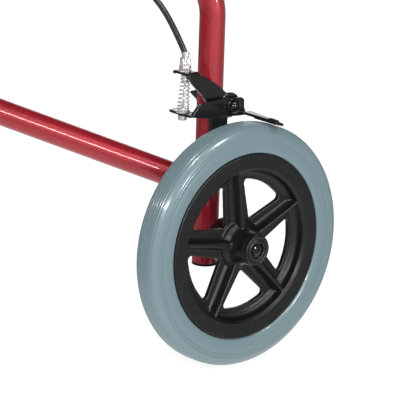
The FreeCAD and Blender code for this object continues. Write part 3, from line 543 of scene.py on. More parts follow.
def studio_floor():
    """Plain pale floor with a barely visible tooth."""
    ground = Finish("studio_floor", (0.9, 0.9, 0.9), Roughness=0.6, Specular_IOR_Level=0.2,
                    Emission_Strength=0.8, Emission_Color=(1, 1, 1, 1))
    ground.tint(ground.noise(3, 2), (0.33, 0.33, 0.33), (0.35, 0.35, 0.35))
    ground.bump(ground.noise(40, 3), 0.0002, 0.1)
    return ground.material


def studio_surround():
    """Plain pale glow behind everything, seen only past the floor's edge."""
    glow = Finish("studio_surround", (0, 0, 0), Emission_Strength=0.97, Specular_IOR_Level=0.0)
    tint = glow.blend(glow.noise(0.05, 1), (0.99, 0.99, 0.99), (1, 1, 1))
    glow.links.new(tint, glow.shader.inputs["Emission Color"])
    return glow.material


RED = red_enamel()
BLACK = powder_coat()
COAT = gloss_coat()
GLOSS = gloss_black()
ZINC = zinc_plate()
NYLON = rim_nylon()
TYRE = grey_tyre()
RUBBER = black_rubber()
SHEATH = vinyl_sheath()
FOAM = grip_foam()
VINYL = cushion_vinyl()
THREAD = thread()
BOARD = moulded_board()


# ======== camera, floor and light
def direction(azimuth, elevation):
    """A unit vector towards an azimuth from +X and an elevation."""
    flat = cos(elevation)
    return Vector((flat * cos(azimuth), flat * sin(azimuth), sin(elevation)))


def camera():
    """Looks down on the rear left wheel from the scooter's left front, with a long lens."""
    azimuth = radians(-41.403)
    roll = radians(1.854)
    distance = 2.44697
    target = REAR_WHEEL + Vector((-21.8, -23.2, 35.6)) * MM
    back = direction(azimuth, radians(15.46))
    level = Vector((-sin(azimuth), cos(azimuth), 0))
    right = about(level, back.cross(level), roll)
    data = bpy.data.cameras.new("camera")
    data.sensor_width = 36
    data.lens = 270
    data.clip_start = 0.05
    data.clip_end = 50
    eye = linked("camera", data)
    eye.matrix_world = axes_at(target + back * distance, right, back.cross(right), back)
    bpy.context.scene.camera = eye


def stage_piece(name, mesh, finish):
    made = linked(name, mesh)
    mesh.materials.append(finish)
    return made


def floor():
    """A pale floor that runs out of sight under a plain pale surround."""
    half = 24.0
    corners = [(-half, -half, 0), (half, -half, 0), (half, half, 0), (-half, half, 0)]
    ground = stage_piece("floor", mesh_of("floor", corners, [(0, 1, 2, 3)]), studio_floor())
    ground.visible_glossy = False
    arc = [radians(2 * step) for step in range(-10, 46)]
    shell = [(half * sin(turn), half * cos(turn)) for turn in arc]
    surround = stage_piece("surround", lathe(shell, Vector(), Z, 48, closed=False), studio_surround())
    surround.visible_diffuse = False
    surround.visible_glossy = False
    surround.visible_shadow = False


def softbox(name, place, target, size, power, along=(0.5, 0.87, 0)):
    """A rectangular area light that faces a point, its long side along a direction."""
    data = bpy.data.lights.new(name, "AREA")
    data.shape = "RECTANGLE"
    data.size, data.size_y = size
    data.energy = power
    lamp = linked(name, data)
    back = (Vector(place) - Vector(target)).normalized()
    across = (Vector(along) - back * back.dot(Vector(along))).normalized()
    lamp.matrix_world = axes_at(Vector(place), across, back.cross(across), back)
    return lamp


def studio_world():
    """Dim surroundings with a bright backdrop across from the camera, a lit floor and a darker ceiling."""
    world = bpy.data.worlds.new("studio")
    bpy.context.scene.world = world
    world.use_nodes = True
    tree = world.node_tree
    toward = tree.nodes.new("ShaderNodeTexCoord").outputs["Generated"]
    strength = 0.30
    for centre, low, high, gain in (
        ((0.95, -0.28, 0.12), 0.45, 1.0, 0.35), ((-0.72, 0.64, 0.27), 0.93, 0.98, 1.3),
        ((0, 0, -1), 0.35, 0.65, 0.6), ((0, 0, 1), 0.05, 0.3, -0.24),
    ):
        inputs = {0: toward, 1: Vector(centre).normalized()}
        along = add_node(tree, "ShaderNodeVectorMath", inputs, operation="DOT_PRODUCT").outputs["Value"]
        inputs = {0: along, 1: low, 2: high, 3: 0, 4: gain}
        lobe = add_node(tree, "ShaderNodeMapRange", inputs, interpolation_type="SMOOTHSTEP").outputs[0]
        strength = add_node(tree, "ShaderNodeMath", {0: strength, 1: lobe}).outputs[0]
    tree.links.new(strength, tree.nodes["Background"].inputs["Strength"])
    tree.nodes["Background"].inputs["Color"].default_value = (1, 1, 1, 1)


def lights():
    """A wide soft overhead light, a narrow key for the tubes' streaks and three catchlights for the wheel."""
    studio_world()
    sun = bpy.data.lights.new("overhead", "SUN")
    sun.energy = 2.1
    sun.angle = radians(110)
    lamp = linked("overhead", sun)
    lamp.rotation_euler = (radians(8), radians(10), 0)
    lamp.visible_glossy = False
    softbox("key", (2.12, -0.94, 0.96), (0.12, 0.19, 0.17), (1.7, 0.13), 30, (-0.627, -0.709, 0.323))
    for azimuth, elevation in ((-6, 46), (24, 34), (12, 8)):
        toward = direction(radians(azimuth), radians(elevation))
        spark = softbox("catchlight", REAR_WHEEL + 2.5 * toward, REAR_WHEEL, (0.3, 0.3), 15)
        spark.visible_diffuse = False
    view = bpy.context.scene.view_settings
    view.view_transform = "Standard"
    view.look = "None"


camera()
floor()
lights()


# ======== wheels
def spoke_mesh():
    """One spoke: a rib with a narrow crest on each side that widens towards the web and the hub."""
    count = 14
    reach = 9.9
    rows = []
    for step in range(count + 1):
        part = step / count
        flare = (1 - part) ** 2
        crest = 1.1 + 1.6 * flare
        foot = 5.4 + 2.6 * flare
        waist = foot * 0.62
        upper = [(-reach, crest), (-4.0, waist), (-1.8, foot), (1.8, foot), (4.0, waist), (reach, crest)]
        lower = [(along, -across) for along, across in upper]
        section = lower[:1] + upper + lower[:0:-1]
        rows += [Vector((along, across, 10 + 54 * part)) * MM for along, across in section]
    size = len(section)
    faces = [tuple(range(size)), tuple(range(count * size + size - 1, count * size - 1, -1))]
    return mesh_of("spoke", rows, faces + quads(count + 1, size))


def rim_mesh():
    """Five-spoked rim about its own centre, outer face towards +X."""
    hub_reach = 20.0
    half = 11.9
    wall = [
        (half, 77.6, 0.8), (half, 65.0, 0.5), (10.6, 64.4, 0.4), (10.2, 63.4, 0.4), (9.2, 63.0, 0.5),
        (5.4, 62.2, 1.0), (3.6, 60.6, 0.6), (3.2, 58.6, 0.6), (2.0, 57.4, 0.4), (2.0, 55.8, 0),
    ]
    walls = wall + [(-along, radius, corner) for along, radius, corner in reversed(wall)]
    drum = lathe(shaped(walls, steps=3), Vector(), X, 144)

    pitch = 2 * pi / 5
    corner = radians(25.4)
    outline = [(0.0, 21.7, 3.0), (corner, 55.4, 7.0)]
    outline += [(radians(degrees), 54.5, 0) for degrees in (15, 7.5, 0, -7.5, -15)]
    outline += [(-corner, 55.4, 7.0)]
    windows = []
    for index in range(5):
        centre = (index + 0.5) * pitch
        windows.append(shaped([
            (r * sin(centre + turn), r * cos(centre + turn), bend) for turn, r, bend in outline
        ], steps=5))
    turns = [2 * pi * k / 96 for k in range(96)]
    edge = [(57 * MM * cos(turn), 57 * MM * sin(turn)) for turn in turns]
    web = moved(flat_plate(edge, 4.4 * MM, 0.8 * MM, windows), axes_at(Vector(), Y, Z, X))
    fins = [moved(spoke_mesh(), Matrix.Rotation(index * pitch, 4, "X")) for index in range(5)]

    cap = hub_reach + 5.2
    hub_outline = [
        (-hub_reach, 11.0, 0.3), (-hub_reach, 17.6, 1.6), (-16.0, 19.0, 1.2), (-4, 20.4, 2), (4, 20.4, 2),
        (8.0, 16.4, 4), (14.0, 14.2, 4), (hub_reach + 1.0, 13.6, 0.5), (hub_reach + 1.4, 12.9, 0.4),
        (cap - 0.4, 12.6, 1.2), (cap, 10.8, 0.6), (cap - 0.9, 10.2, 0.4), (cap - 0.9, 9.0, 0.4),
        (cap, 8.4, 0.6), (cap, 6.4, 0.8), (hub_reach + 1.6, 6.0, 0.5), (hub_reach + 0.1, 6.0, 0),
        (hub_reach + 0.1, 11.0, 0), (13.0, 11.0, 0), (13.0, 6.0, 0), (-13.0, 6.0, 0), (-13.0, 11.0, 0),
    ]
    hub = lathe(shaped(hub_outline, steps=3), Vector(), X, 96)
    rim = moulded(joined("rim", [drum, web, hub, *fins]), 0.62 * MM, 3, 0.45)
    rim.transform(Matrix.Rotation(radians(8), 4, "X"))
    return rim


def tyre_mesh():
    """Smooth tyre with fine grooves round its tread and one round each side."""
    half = 12.25
    bead = 78.0
    grooves = [2.6 * index for index in range(-3, 4)]
    outline = []
    for step in range(-112, 113):
        across = half * sin(pi / 2 * step / 112)
        cut = sum(0.55 * exp(-((across - groove) / 0.42) ** 2) for groove in grooves)
        drop = 7.0 * abs(across / half) ** 5
        outline.append((across, TYRE_RADIUS - drop - cut))
    side = [
        (half + 0.02, 93.6), (half - 0.3, 93.1), (half + 0.05, 92.6), (half + 0.1, 90.6), (half - 0.22, 90.0),
        (half + 0.1, 89.4), (half + 0.1, 84), (half - 0.05, 81), (half - 0.4, 79.4), (half - 1.2, bead + 0.2),
        (half - 1.9, bead),
    ]
    outline += side + [(-across, r) for across, r in reversed(side)]
    return lathe([(across * MM, r * MM) for across, r in outline], Vector(), X, 200)


def wheels():
    rim = rim_mesh()
    tyre = tyre_mesh()
    for side, hand in SIDES:
        for axle, centre in (("rear", REAR_WHEEL), ("front", FRONT_WHEEL)):
            place = Vector((centre.x * side, centre.y, centre.z))
            body = f"{axle}_wheel_{hand}"
            piece(f"{axle}_{hand}_rim_look", shifted(sided(rim, side), place), NYLON, body, "rim_plastic",
                  f"{axle}_rim_{hand}", sharp=60)
            piece(f"{axle}_{hand}_tyre_look", shifted(sided(tyre, side), place), TYRE, body, "tyre",
                  f"{axle}_tyre_{hand}", sharp=70)


wheels()


# ======== fasteners
def hexagon(across, thick):
    """A hexagonal head or nut along Z, standing on Z = 0."""
    turns = [pi * k / 3 for k in range(6)]
    corners = [(cos(turn) * across, sin(turn) * across, 0.3) for turn in turns]
    return shifted(flat_plate(shaped(corners, steps=2), thick * MM, 0.5 * MM), (0, 0, thick / 2 * MM))


def at_axis(mesh, place, axis):
    """A mesh made along Z, put at a place with its Z along another axis."""
    side, up = frame_of(axis)
    return moved(mesh, axes_at(place, side, up, Vector(axis).normalized()))


def turned(profile, centre=Vector(), axis=Z, steps=40, **grooves):
    """A turned solid from (along, radius) points in millimetres."""
    metres = [(along * MM, radius * MM) for along, radius in profile]
    return lathe(metres, centre, axis, steps, closed=False, **grooves)


def disc(low, high, radius, chamfer):
    """The profile of a disc with both of its rims chamfered."""
    face = radius - chamfer
    return [(low, 0), (low, face), (low + chamfer, radius), (high - chamfer, radius), (high, face), (high, 0)]


def stud_bolt(length, radius):
    """A round bolt end with a chamfered tip and fine thread rings, along Z."""
    profile = [(0, 0), (0, radius)]
    for turn in range(int(length / 0.8)):
        profile += [(0.8 * turn + 0.2, radius), (0.8 * turn + 0.6, radius - 0.35)]
    return turned(profile + [(length - 0.4, radius), (length, radius - 0.7), (length, 0)])


def washer(radius, thick=1.2):
    return turned(disc(0, thick, radius, 0.2))


def axle_set(wheel, nut_face, spacer_from):
    """Bolt head in a left wheel's hub, and its axle's spacer, washer and locknut."""
    def on_axle(mesh, across, axis):
        return at_axis(mesh, Vector((across * MM, wheel.y, wheel.z)), axis)

    middle_plane = wheel.x / MM
    dome = turned([(0, 5.0), (0.5, 4.8), (1.3, 3.0), (1.6, 0)])
    head = [on_axle(hexagon(5.4, 3.6), middle_plane + 20.5, X), on_axle(dome, middle_plane + 24.0, X)]
    rest = [
        on_axle(hexagon(6.4, 6.0), nut_face, -X), on_axle(washer(7.6, 1.0), nut_face + 1.0, -X),
        on_axle(stud_bolt(9.0, 3.9), nut_face, -X),
    ]
    if spacer_from:
        length = middle_plane - 20.3 - spacer_from
        rest.append(on_axle(turned(disc(0, length, 9.0, 0.3)), spacer_from, X))
    return joined("head", head), joined("axle", rest)


def axles():
    leg = LEG.x / MM
    radius = TUBE_RADIUS / MM
    knuckle_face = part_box("front_axle_left")[0].x / MM + 9.0
    for axle, wheel, nut_face, spacer_from, body, node in (
        ("rear", REAR_WHEEL, leg - radius - 0.6, leg + radius - 0.4, "frame", "rear_axles"),
        ("front", FRONT_WHEEL, knuckle_face, None, "knuckle_{}", "front_axle_{}"),
    ):
        head, rest = axle_set(wheel, nut_face, spacer_from)
        for side, hand in SIDES:
            for name, mesh, finish in (("head", head, GLOSS), ("nut", rest, ZINC)):
                piece(f"{axle}_{hand}_axle_{name}", sided(mesh, side), finish, body.format(hand), "zinc",
                      node.format(hand))


def kingpins():
    low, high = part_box("kingpin_bolts")
    foot = Vector((high.x - 8.5 * MM, (low.y + high.y) / 2, low.z))
    upper = Vector((foot.x, foot.y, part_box("knuckle_left")[1].z + 0.3 * MM))
    whole = joined("kingpin", [
        at_axis(washer(8.8), upper, Z), at_axis(hexagon(8.2, 6.4), upper + Z * 1.2 * MM, Z),
        at_axis(stud_bolt(10.2, 4.9), upper, Z), at_axis(hexagon(8.2, 5.0), foot, Z),
    ])
    for side, hand in SIDES:
        piece(f"kingpin_{hand}", sided(whole, side), ZINC, "frame", "zinc", "kingpin_bolts")


axles()
kingpins()


# ======== rear brakes
def leg_sheet(corners, thick, out, edge=0.6):
    """A pressed plate square to X, out from the leg's axis; corners are (back, level, radius)."""
    place = Vector((LEG.x + (out + thick / 2) * MM, LEG.y, 0))
    return moved(flat_plate(shaped(corners), thick * MM, edge * MM), axes_at(place, Y, Z, X))


def level_sheet(corners, thick, level, edge):
    """A pressed plate that lies level on its underside's level; corners are (out, back, radius)."""
    place = Vector((LEG.x, LEG.y, (level + thick / 2) * MM))
    return moved(flat_plate(shaped(corners), thick * MM, edge * MM), axes_at(place, X, Y, Z))


def ribbon(spots, thick):
    """A bent strip of sheet through spots of (centre, direction across, half width)."""
    rows = []
    last = len(spots) - 1
    for index, (centre, across, half) in enumerate(spots):
        along = spots[min(index + 1, last)][0] - spots[max(index - 1, 0)][0]
        normal = along.cross(across).normalized()
        for u, v in ((-1, -1), (1, -1), (1, 1), (-1, 1)):
            rows.append(centre + across.normalized() * half * MM * u + normal * thick / 2 * MM * v)
    faces = [(0, 1, 2, 3), (4 * last + 3, 4 * last + 2, 4 * last + 1, 4 * last)]
    return mesh_of("ribbon", rows, faces + quads(len(spots), 4))


PIVOT_BACK = 10.0
PIVOT_LEVEL = 211.4
CABLE_OUT = 3.0
CABLE_BACK = -30.5


def bracket_mesh():
    """Bracket welded to the leg: base, pivot lug, folded strap with the cable's tab, and a small ear."""
    diagonal = Vector((0, 0.66, 0.75))
    strap = [
        ((-6.8, -29.6, 239.6), Y, 4.6), ((-6.4, -29.6, 241.0), Y, 5.2), ((-5.0, -29.6, 241.8), Y, 5.5),
        ((2.0, -29.5, 241.8), Y, 5.5), ((9.8, -29.0, 241.8), Y, 5.8), ((11.6, -28.6, 241.2), Y, 6.0),
        ((12.3, -27.8, 239.4), Y, 6.3), ((12.3, -25.4, 237.0), Vector((0, 0.85, 0.45)), 6.6),
        ((12.3, -20.0, 232.4), diagonal, 6.8), ((12.3, -14.6, 228.0), diagonal, 7.2),
        ((12.3, -12.6, 226.3), diagonal, 8.2), ((12.3, -5.4, 220.0), diagonal, 9.0),
        ((12.3, 3.0, 213.0), diagonal, 9.0),
    ]
    folded = ribbon([(by_leg(*spot), across, half) for spot, across, half in strap], 2.4)
    base = leg_sheet([
        (-8, 155, 3), (8.5, 155, 3), (8.5, 201, 2), (15, 204, 4), (14, 222, 6), (-4, 222, 5), (-8, 212, 4),
    ], 2.6, 10.9)
    lug_profile = [(0, 0), (0, 10.2), (0.4, 10.5), (2.9, 10.5), (3.3, 10.1), (3.3, 0)]
    lug = turned(lug_profile, by_leg(10.9, PIVOT_BACK, PIVOT_LEVEL), X)
    ear_corners = [(-21, 216.4, 0.6), (-9.5, 210.6, 1), (-9.5, 222, 1), (-21, 218.2, 0.6)]
    ear = flat_plate(shaped(ear_corners), 2.6 * MM, 0.6 * MM)
    ear = moved(ear, axes_at(Vector((LEG.x, LEG.y - 2.3 * MM, 0)), X, Z, -Y))
    round_leg = [radians(angle) for angle in range(-20, 201, 10)]
    band = ribbon([
        (by_leg(0, 0, 216.5) + (TUBE_RADIUS + 1.2 * MM) * about(X, Y, turn), Z, 4.5) for turn in round_leg
    ], 2.4)
    beads = []
    for back in (-7.4, 7.9):
        sway = [0.25 * MM * Vector((0, sin(2.1 * k), 0)) for k in range(20)]
        line = [by_leg(10.4, back, 155 + 3.2 * k) + sway[k] for k in range(20)]
        beads.append(tube_mesh(line, 1.5 * MM, 10))
    return moulded(joined("bracket", [folded, base, lug, ear, band, *beads]), 0.42 * MM, 2, 0.4)


def arm_mesh():
    """Pressed rocking arm: upright flank, front tab for the cable, rear tab for the pad."""
    flank = leg_sheet([
        (-35, 207.5, 1.5), (-20, 204.8, 6), (19.6, 202.0, 2), (25.2, 202.0, 1), (22.6, 209, 5),
        (22.4, 215.5, 2), (19.5, 217.5, 2), (1.6, 219.2, 8), (-16.5, 218.5, 8), (-27.5, 216, 4),
    ], 3.0, 14.8, 0.7)
    front = level_sheet([(-11, -25.2, 3.5), (-11, -36, 3.5), (17, -36, 1), (17, -25.2, 1)], 2.4, 207, 0.7)
    rear = level_sheet([(15.4, 22.4, 1), (56, 22.4, 1.5), (56, 26.5, 1.5), (15.4, 31, 1)], 2.4, 202.2, 0.7)
    return moulded(joined("arm", [flank, front, rear]), 0.4 * MM, 2, 0.4)


def pad_mesh():
    """Rubber shoe under the rear tab, hollowed to clear the tyre and turned up round the tab's end."""
    shoe = level_sheet([(28, 22.0, 2), (58, 22.0, 3), (58, 31, 3), (28, 33, 2)], 3.2, 199.0, 1.2)
    end = level_sheet([(45, 21.8, 1.5), (57.0, 21.8, 2), (57.0, 26.8, 2), (45, 28.0, 1.5)], 6.0, 199.2, 1.6)
    pad = moulded(joined("pad", [shoe, end]), 0.45 * MM, 2, 0.4)
    clear = (TYRE_RADIUS + 1.2) * MM
    for vertex in pad.vertices:
        outward = vertex.co - REAR_WHEEL
        outward.x = 0
        if outward.length < clear:
            vertex.co += outward.normalized() * (clear - outward.length)
    return pad


def pivot_mesh():
    """Domed cap of the arm's pivot on its washer."""
    ring = [(18.0, 0), (18.0, 6.7), (18.3, 6.9), (19.0, 6.9), (19.2, 6.6)]
    dome = [(19.2, 5.6), (20.4, 5.4), (21.4, 4.8), (22.2, 3.7), (22.8, 2.0), (23.0, 0)]
    return turned(ring + dome, by_leg(0, PIVOT_BACK, PIVOT_LEVEL), X, 48)


def adjuster_mesh():
    """Fluted barrel adjuster with its locknut and the sheath's ferrule."""
    foot = by_leg(CABLE_OUT, CABLE_BACK, 0)
    collar = turned([(243.0, 0), (243.0, 5.0), (243.3, 5.2), (244.6, 5.2), (245.0, 4.8), (245.0, 0)], foot)
    nut = shifted(hexagon(5.2, 2.6), by_leg(CABLE_OUT, CABLE_BACK, 245.2))
    flutes = [(247.6, 0), (247.6, 3.6), (248.2, 4.4), (253.6, 4.4), (254.4, 3.7), (254.4, 0)]
    barrel = turned(flutes, foot, Z, 96, flutes=16, depth=0.09)
    neck = turned([(254.2, 0), (254.2, 3.0), (256.4, 2.9), (256.4, 3.3), (259.4, 3.1), (259.4, 0)], foot)
    shank = turned([(234.5, 0), (234.5, 2.2), (235.0, 2.7), (243.2, 2.7), (243.2, 0)], foot)
    return joined("adjuster", [collar, nut, barrel, neck, shank])


def spring_mesh(low, high):
    """Return spring: a coil that widens downward and closes up at its ends."""
    turns = 10
    steps = 18 * turns
    points = []
    for step in range(steps + 1):
        part = step / steps
        squeeze = 0.5 - 0.5 * cos(pi * part)
        radius = (4.9 - 1.6 * part) * MM
        along = part * 0.7 + squeeze * 0.3
        points.append(low.lerp(high, along) + radius * about(X, Y, 2 * pi * turns * part))
    return tube_mesh(points, 0.62 * MM, 8)


def brakes():
    top = by_leg(CABLE_OUT, -29.8, 239.4)
    bottom = by_leg(CABLE_OUT, -31.6, 210.4)
    stop_at = by_leg(CABLE_OUT, -31.8, 0)
    stop = turned(disc(202.6, 206.8, 3.6, 0.4), stop_at)
    cup = turned([(209.2, 0), (209.2, 5.8), (209.6, 6.1), (210.4, 6.1), (210.6, 5.8), (210.6, 0)], stop_at)
    wire_line = [bottom - Z * 6 * MM, bottom.lerp(top, 0.3), bottom.lerp(top, 0.7), top, top + Z * 8 * MM]
    looks = (
        ("brake_bracket", bracket_mesh(), COAT, "frame", "black_steel", "brake_bracket_{}"),
        ("brake_arm", arm_mesh(), COAT, "brake_arm_{}", "black_steel", "brake_arm_{}"),
        ("brake_pad", pad_mesh(), RUBBER, "brake_arm_{}", "rubber", "brake_pad_{}"),
        ("brake_pivot_cap", pivot_mesh(), GLOSS, "frame", "black_steel", "brake_pivots"),
        ("cable_adjuster", adjuster_mesh(), ZINC, "frame", "zinc", "cable_adjusters"),
        ("cable_stop", joined("stop", [stop, cup]), ZINC, "brake_arm_{}", "zinc", "cable_stop_{}"),
    )
    bending = (
        ("return_spring", spring_mesh(bottom, top), "brake_spring_{}"),
        ("inner_wire", tube_mesh(wire_line, 0.8 * MM, 8), "brake_cable_{}"),
    )
    for side, hand in SIDES:
        for name, mesh, finish, body, slot, node in looks:
            piece(f"{name}_{hand}_look", sided(mesh, side), finish, body.format(hand), slot,
                  node.format(hand))
        for name, mesh, node in bending:
            made = piece(f"{name}_{hand}", sided(mesh, side), ZINC, None, "zinc", node.format(hand))
            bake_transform(made)


brakes()


# ======== brake cables
CABLE_ROUTE = [
    (203.0, 249.5, 257), (196.0, 241.5, 281), (185.0, 229.8, 304.5), (165.9, 211.3, 327), (139.2, 184.2, 342),
    (106.6, 148.9, 350), (74.3, 110.8, 353), (48.9, 73.1, 347), (33.2, 40.3, 331), (24.0, 2.0, 312),
    (21.0, -48.0, 303), (20.5, -100.0, 299), (21.5, -150.0, 297), (25.0, -194.0, 300), (29.5, -230.0, 314),
    (33.0, -254.0, 344), (34.0, -264.0, 390), (33.0, -269.0, 445), (33.5, -268.0, 505), (32.0, -269.5, 565),
    (30.0, -270.0, 625), (27.5, -278.0, 685), (23.0, -290.0, 742), (21.0, -300.0, 797), (27.0, -303.0, 845),
    (47.0, -284.0, 877), (72.0, -262.0, 885), (96.0, -262.0, 885),
]
CABLE_RADIUS = 2.5 * MM


def smooth_line(points):
    """Points read from the NURBS curve that a list of points in millimetres steers."""
    curve = bpy.data.curves.new("route", "CURVE")
    curve.dimensions = "3D"
    spline = curve.splines.new("NURBS")
    spline.points.add(len(points) - 1)
    for spot, point in zip(spline.points, points):
        spot.co = (*(Vector(point) * MM), 1)
    spline.order_u = 3
    spline.use_endpoint_u = True
    spline.resolution_u = 8
    holder = bpy.data.objects.new("route", curve)
    line = [vertex.co.copy() for vertex in bpy.data.meshes.new_from_object(holder).vertices]
    bpy.data.objects.remove(holder)
    return line


def cables():
    """Each sheath in three lengths, one across each joint that it passes."""
    line = smooth_line(CABLE_ROUTE)
    fold = next(k for k, point in enumerate(line) if point.y < -0.25 and point.z > 0.344)
    sleeve = next(k for k, point in enumerate(line) if k > fold and point.z > 0.5)
    crossings = (
        ("rear", line[:fold + 1], "frame", "steerer", (25, -194, 300), (33, -254, 344)),
        ("middle", line[fold:sleeve + 1], "steerer", "column", (33, -254, 345), (33.5, -268, 495)),
        ("upper", line[sleeve:], "column", "stem", (33, -268, 510), (25, -288, 740)),
    )
    ferrule = turned([(-8, 0), (-8, 2.9), (-7.6, 3.2), (3.6, 3.2), (4, 2.9), (4, 0)], line[-1], X, 32)
    for side, hand in SIDES:
        for name, stretch, first, second, start, end in crossings:
            mesh = sided(tube_mesh(stretch, CABLE_RADIUS, 14, ends=name != "middle"), side)
            made = piece(f"cable_{name}_{hand}", mesh, SHEATH, None, "cable_sheath", f"brake_cable_{hand}")
            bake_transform(made)
        piece(f"ferrule_{hand}", sided(ferrule, side), ZINC, "stem", "zinc", "lever_perches")


cables()


# ======== welds and cable ties on the frame
def weld_line(start, along, radius, core_radius, steps=96):
    """The closed line where a round tube leaves an upright round core; start lies on the core's axis."""
    flat = Vector((1, 1, 0))
    level = along * flat
    line = []
    for point in circle(start, *frame_of(along), radius, steps):
        off = (point - start) * flat
        half = off.dot(level) / level.dot(level)
        rest = (off.dot(off) - core_radius ** 2) / level.dot(level)
        line.append(point + along * (sqrt(max(half * half - rest, 0)) - half))
    return line


def bead(line, size):
    """A weld bead with the ripples that the torch leaves."""
    ripples = len(line) // 3
    turns = [2 * pi * ripples * k / len(line) for k in range(len(line))]
    radii = [size * MM * (1 + 0.14 * cos(turn)) for turn in turns]
    return loop_mesh(line, radii, 8)


def tube_radius_of(node):
    low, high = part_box(node)
    return (high.x - low.x) / 2


def welds():
    """Weld beads where the frame's tubes meet each other, from the levels of the tubes' axes."""
    lower_level = 140 * MM
    main_levels = (300, 287)
    brace_levels = (243, 236)
    bend_level = 284
    bend_radius = 51
    upper_rise = radians(6)
    lower_rise = radians(18.85)
    seat_radius = tube_radius_of("seat_tube")
    head_radius = tube_radius_of("head_tube")
    seat = Vector((SEAT.x, SEAT.y, 0))
    head = Vector((HEAD.x, HEAD.y, 0))
    leg = by_leg(0, 0, 0)
    run = (seat - leg).length
    lower = about((seat - leg).normalized(), Z, lower_rise)
    upper = about((seat - leg).normalized(), Z, upper_rise)
    bend_top = (bend_level + bend_radius * tan((pi / 2 - upper_rise) / 2)) * MM
    paired = [
        (leg + Z * lower_level, lower, TUBE_RADIUS, TUBE_RADIUS),
        (seat + Z * (bend_top + run * tan(upper_rise)), -upper, TUBE_RADIUS, seat_radius),
        (seat + Z * (lower_level + run * tan(lower_rise)), -lower, TUBE_RADIUS, seat_radius),
    ]
    single = []
    for (rear, front), radius in ((main_levels, seat_radius), (brace_levels, TUBE_RADIUS)):
        from_seat = seat + Z * rear * MM
        from_head = head + Z * front * MM
        forward = (from_head - from_seat).normalized()
        single += [(from_seat, forward, radius, seat_radius), (from_head, -forward, radius, head_radius)]
    beads = [bead(weld_line(*meeting), 1.5) for meeting in paired + single]
    beads += [mirrored(made) for made in beads[:len(paired)]]
    piece("frame_welds", joined("welds", beads), RED, "frame", "red_paint")


def cable_ties():
    """Nylon ties that hold both sheaths against the main tube, which sinks from the seat tube to the head."""
    tube_grip = 16.7
    sheath_grip = 3.2
    for number, y in enumerate((-62, -128, -186)):
        tube_level = 300 - (SEAT.y / MM - y) / (SEAT.y / MM - HEAD.y / MM) * 13
        cable_level = 301.5 if y > -100 else 297.5
        cable_across = 21.3 if y > -150 else 24.0
        rims = []
        for across, level, radius in (
            (0, tube_level, tube_grip), (cable_across, cable_level, sheath_grip),
            (-cable_across, cable_level, sheath_grip),
        ):
            turns = [pi * k / 16 for k in range(32)]
            rims += [
                Vector((across + radius * cos(turn), level + radius * sin(turn))) for turn in turns
            ]
        hull = [rims[k] for k in geometry.convex_hull_2d(rims)]
        spots = [(Vector((point.x, y, point.y)) * MM, Y, 1.8) for point in hull + hull[:1]]
        lock = flat_plate(shaped(oblong(3, 2.6, 0.6)), 3.4 * MM, 0.5 * MM)
        lock = shifted(lock, Vector((0, y, tube_level - 18.2)) * MM)
        tie = joined("tie", [ribbon(spots, 1.1), lock])
        piece(f"cable_tie_{number + 1}", tie, NYLON, "frame", "rim_plastic")


welds()
cable_ties()


# ======== knee rest
CUSHION_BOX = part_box("knee_cushion")
CUSHION = middle("knee_cushion")
HALF_WIDTH = (CUSHION_BOX[1].x - CUSHION_BOX[0].x) / 2
HALF_LENGTH = (CUSHION_BOX[1].y - CUSHION_BOX[0].y) / 2


def pad_outline(inset, radius, steps=8):
    return rounded(oblong(HALF_WIDTH / MM - inset, HALF_LENGTH / MM - inset, radius), steps=steps)


def swollen(mesh, voxel, pressure, cap):
    """The mesh blown up by a cloth simulation, no point further than a cap from where it was."""
    start = applied(mesh, ("REMESH", {"mode": "VOXEL", "voxel_size": voxel}))
    holder = linked("swelling", start.copy())
    cloth = holder.modifiers.new("swelling", "CLOTH")
    vinyl = {
        "quality": 6, "mass": 0.3, "tension_stiffness": 12, "compression_stiffness": 12, "shear_stiffness": 6,
        "bending_stiffness": 1.5, "use_pressure": True, "uniform_pressure_force": pressure,
    }
    for name, value in vinyl.items():
        setattr(cloth.settings, name, value)
    cloth.settings.effector_weights.gravity = 0
    for number in range(1, 21):
        bpy.context.scene.frame_set(number)
    seen = holder.evaluated_get(bpy.context.evaluated_depsgraph_get())
    result = bpy.data.meshes.new_from_object(seen)
    bpy.data.objects.remove(holder)
    bpy.context.scene.frame_set(1)
    for before, after in zip(start.vertices, result.vertices):
        shift = after.co - before.co
        after.co = before.co + shift * min(1, cap / max(shift.length, 1e-9))
    return result


def sewn_rows(tree, line, pitch=4.2, length=3.0):
    """Short stitches laid on a surface along a line of places."""
    stitches = []
    travelled = 0.0
    for place, after in zip(line, line[1:]):
        travelled += (after - place).length
        if travelled < pitch * MM:
            continue
        travelled = 0.0
        along = (after - place).normalized()
        spot, normal, _, _ = tree.find_nearest(place)
        stitches.append(tube_mesh([
            spot + along * length * MM * (part - 0.5) + normal * 0.5 * MM * sin(pi * part)
            for part in (0, 0.25, 0.5, 0.75, 1)
        ], 0.42 * MM, 6))
    return stitches


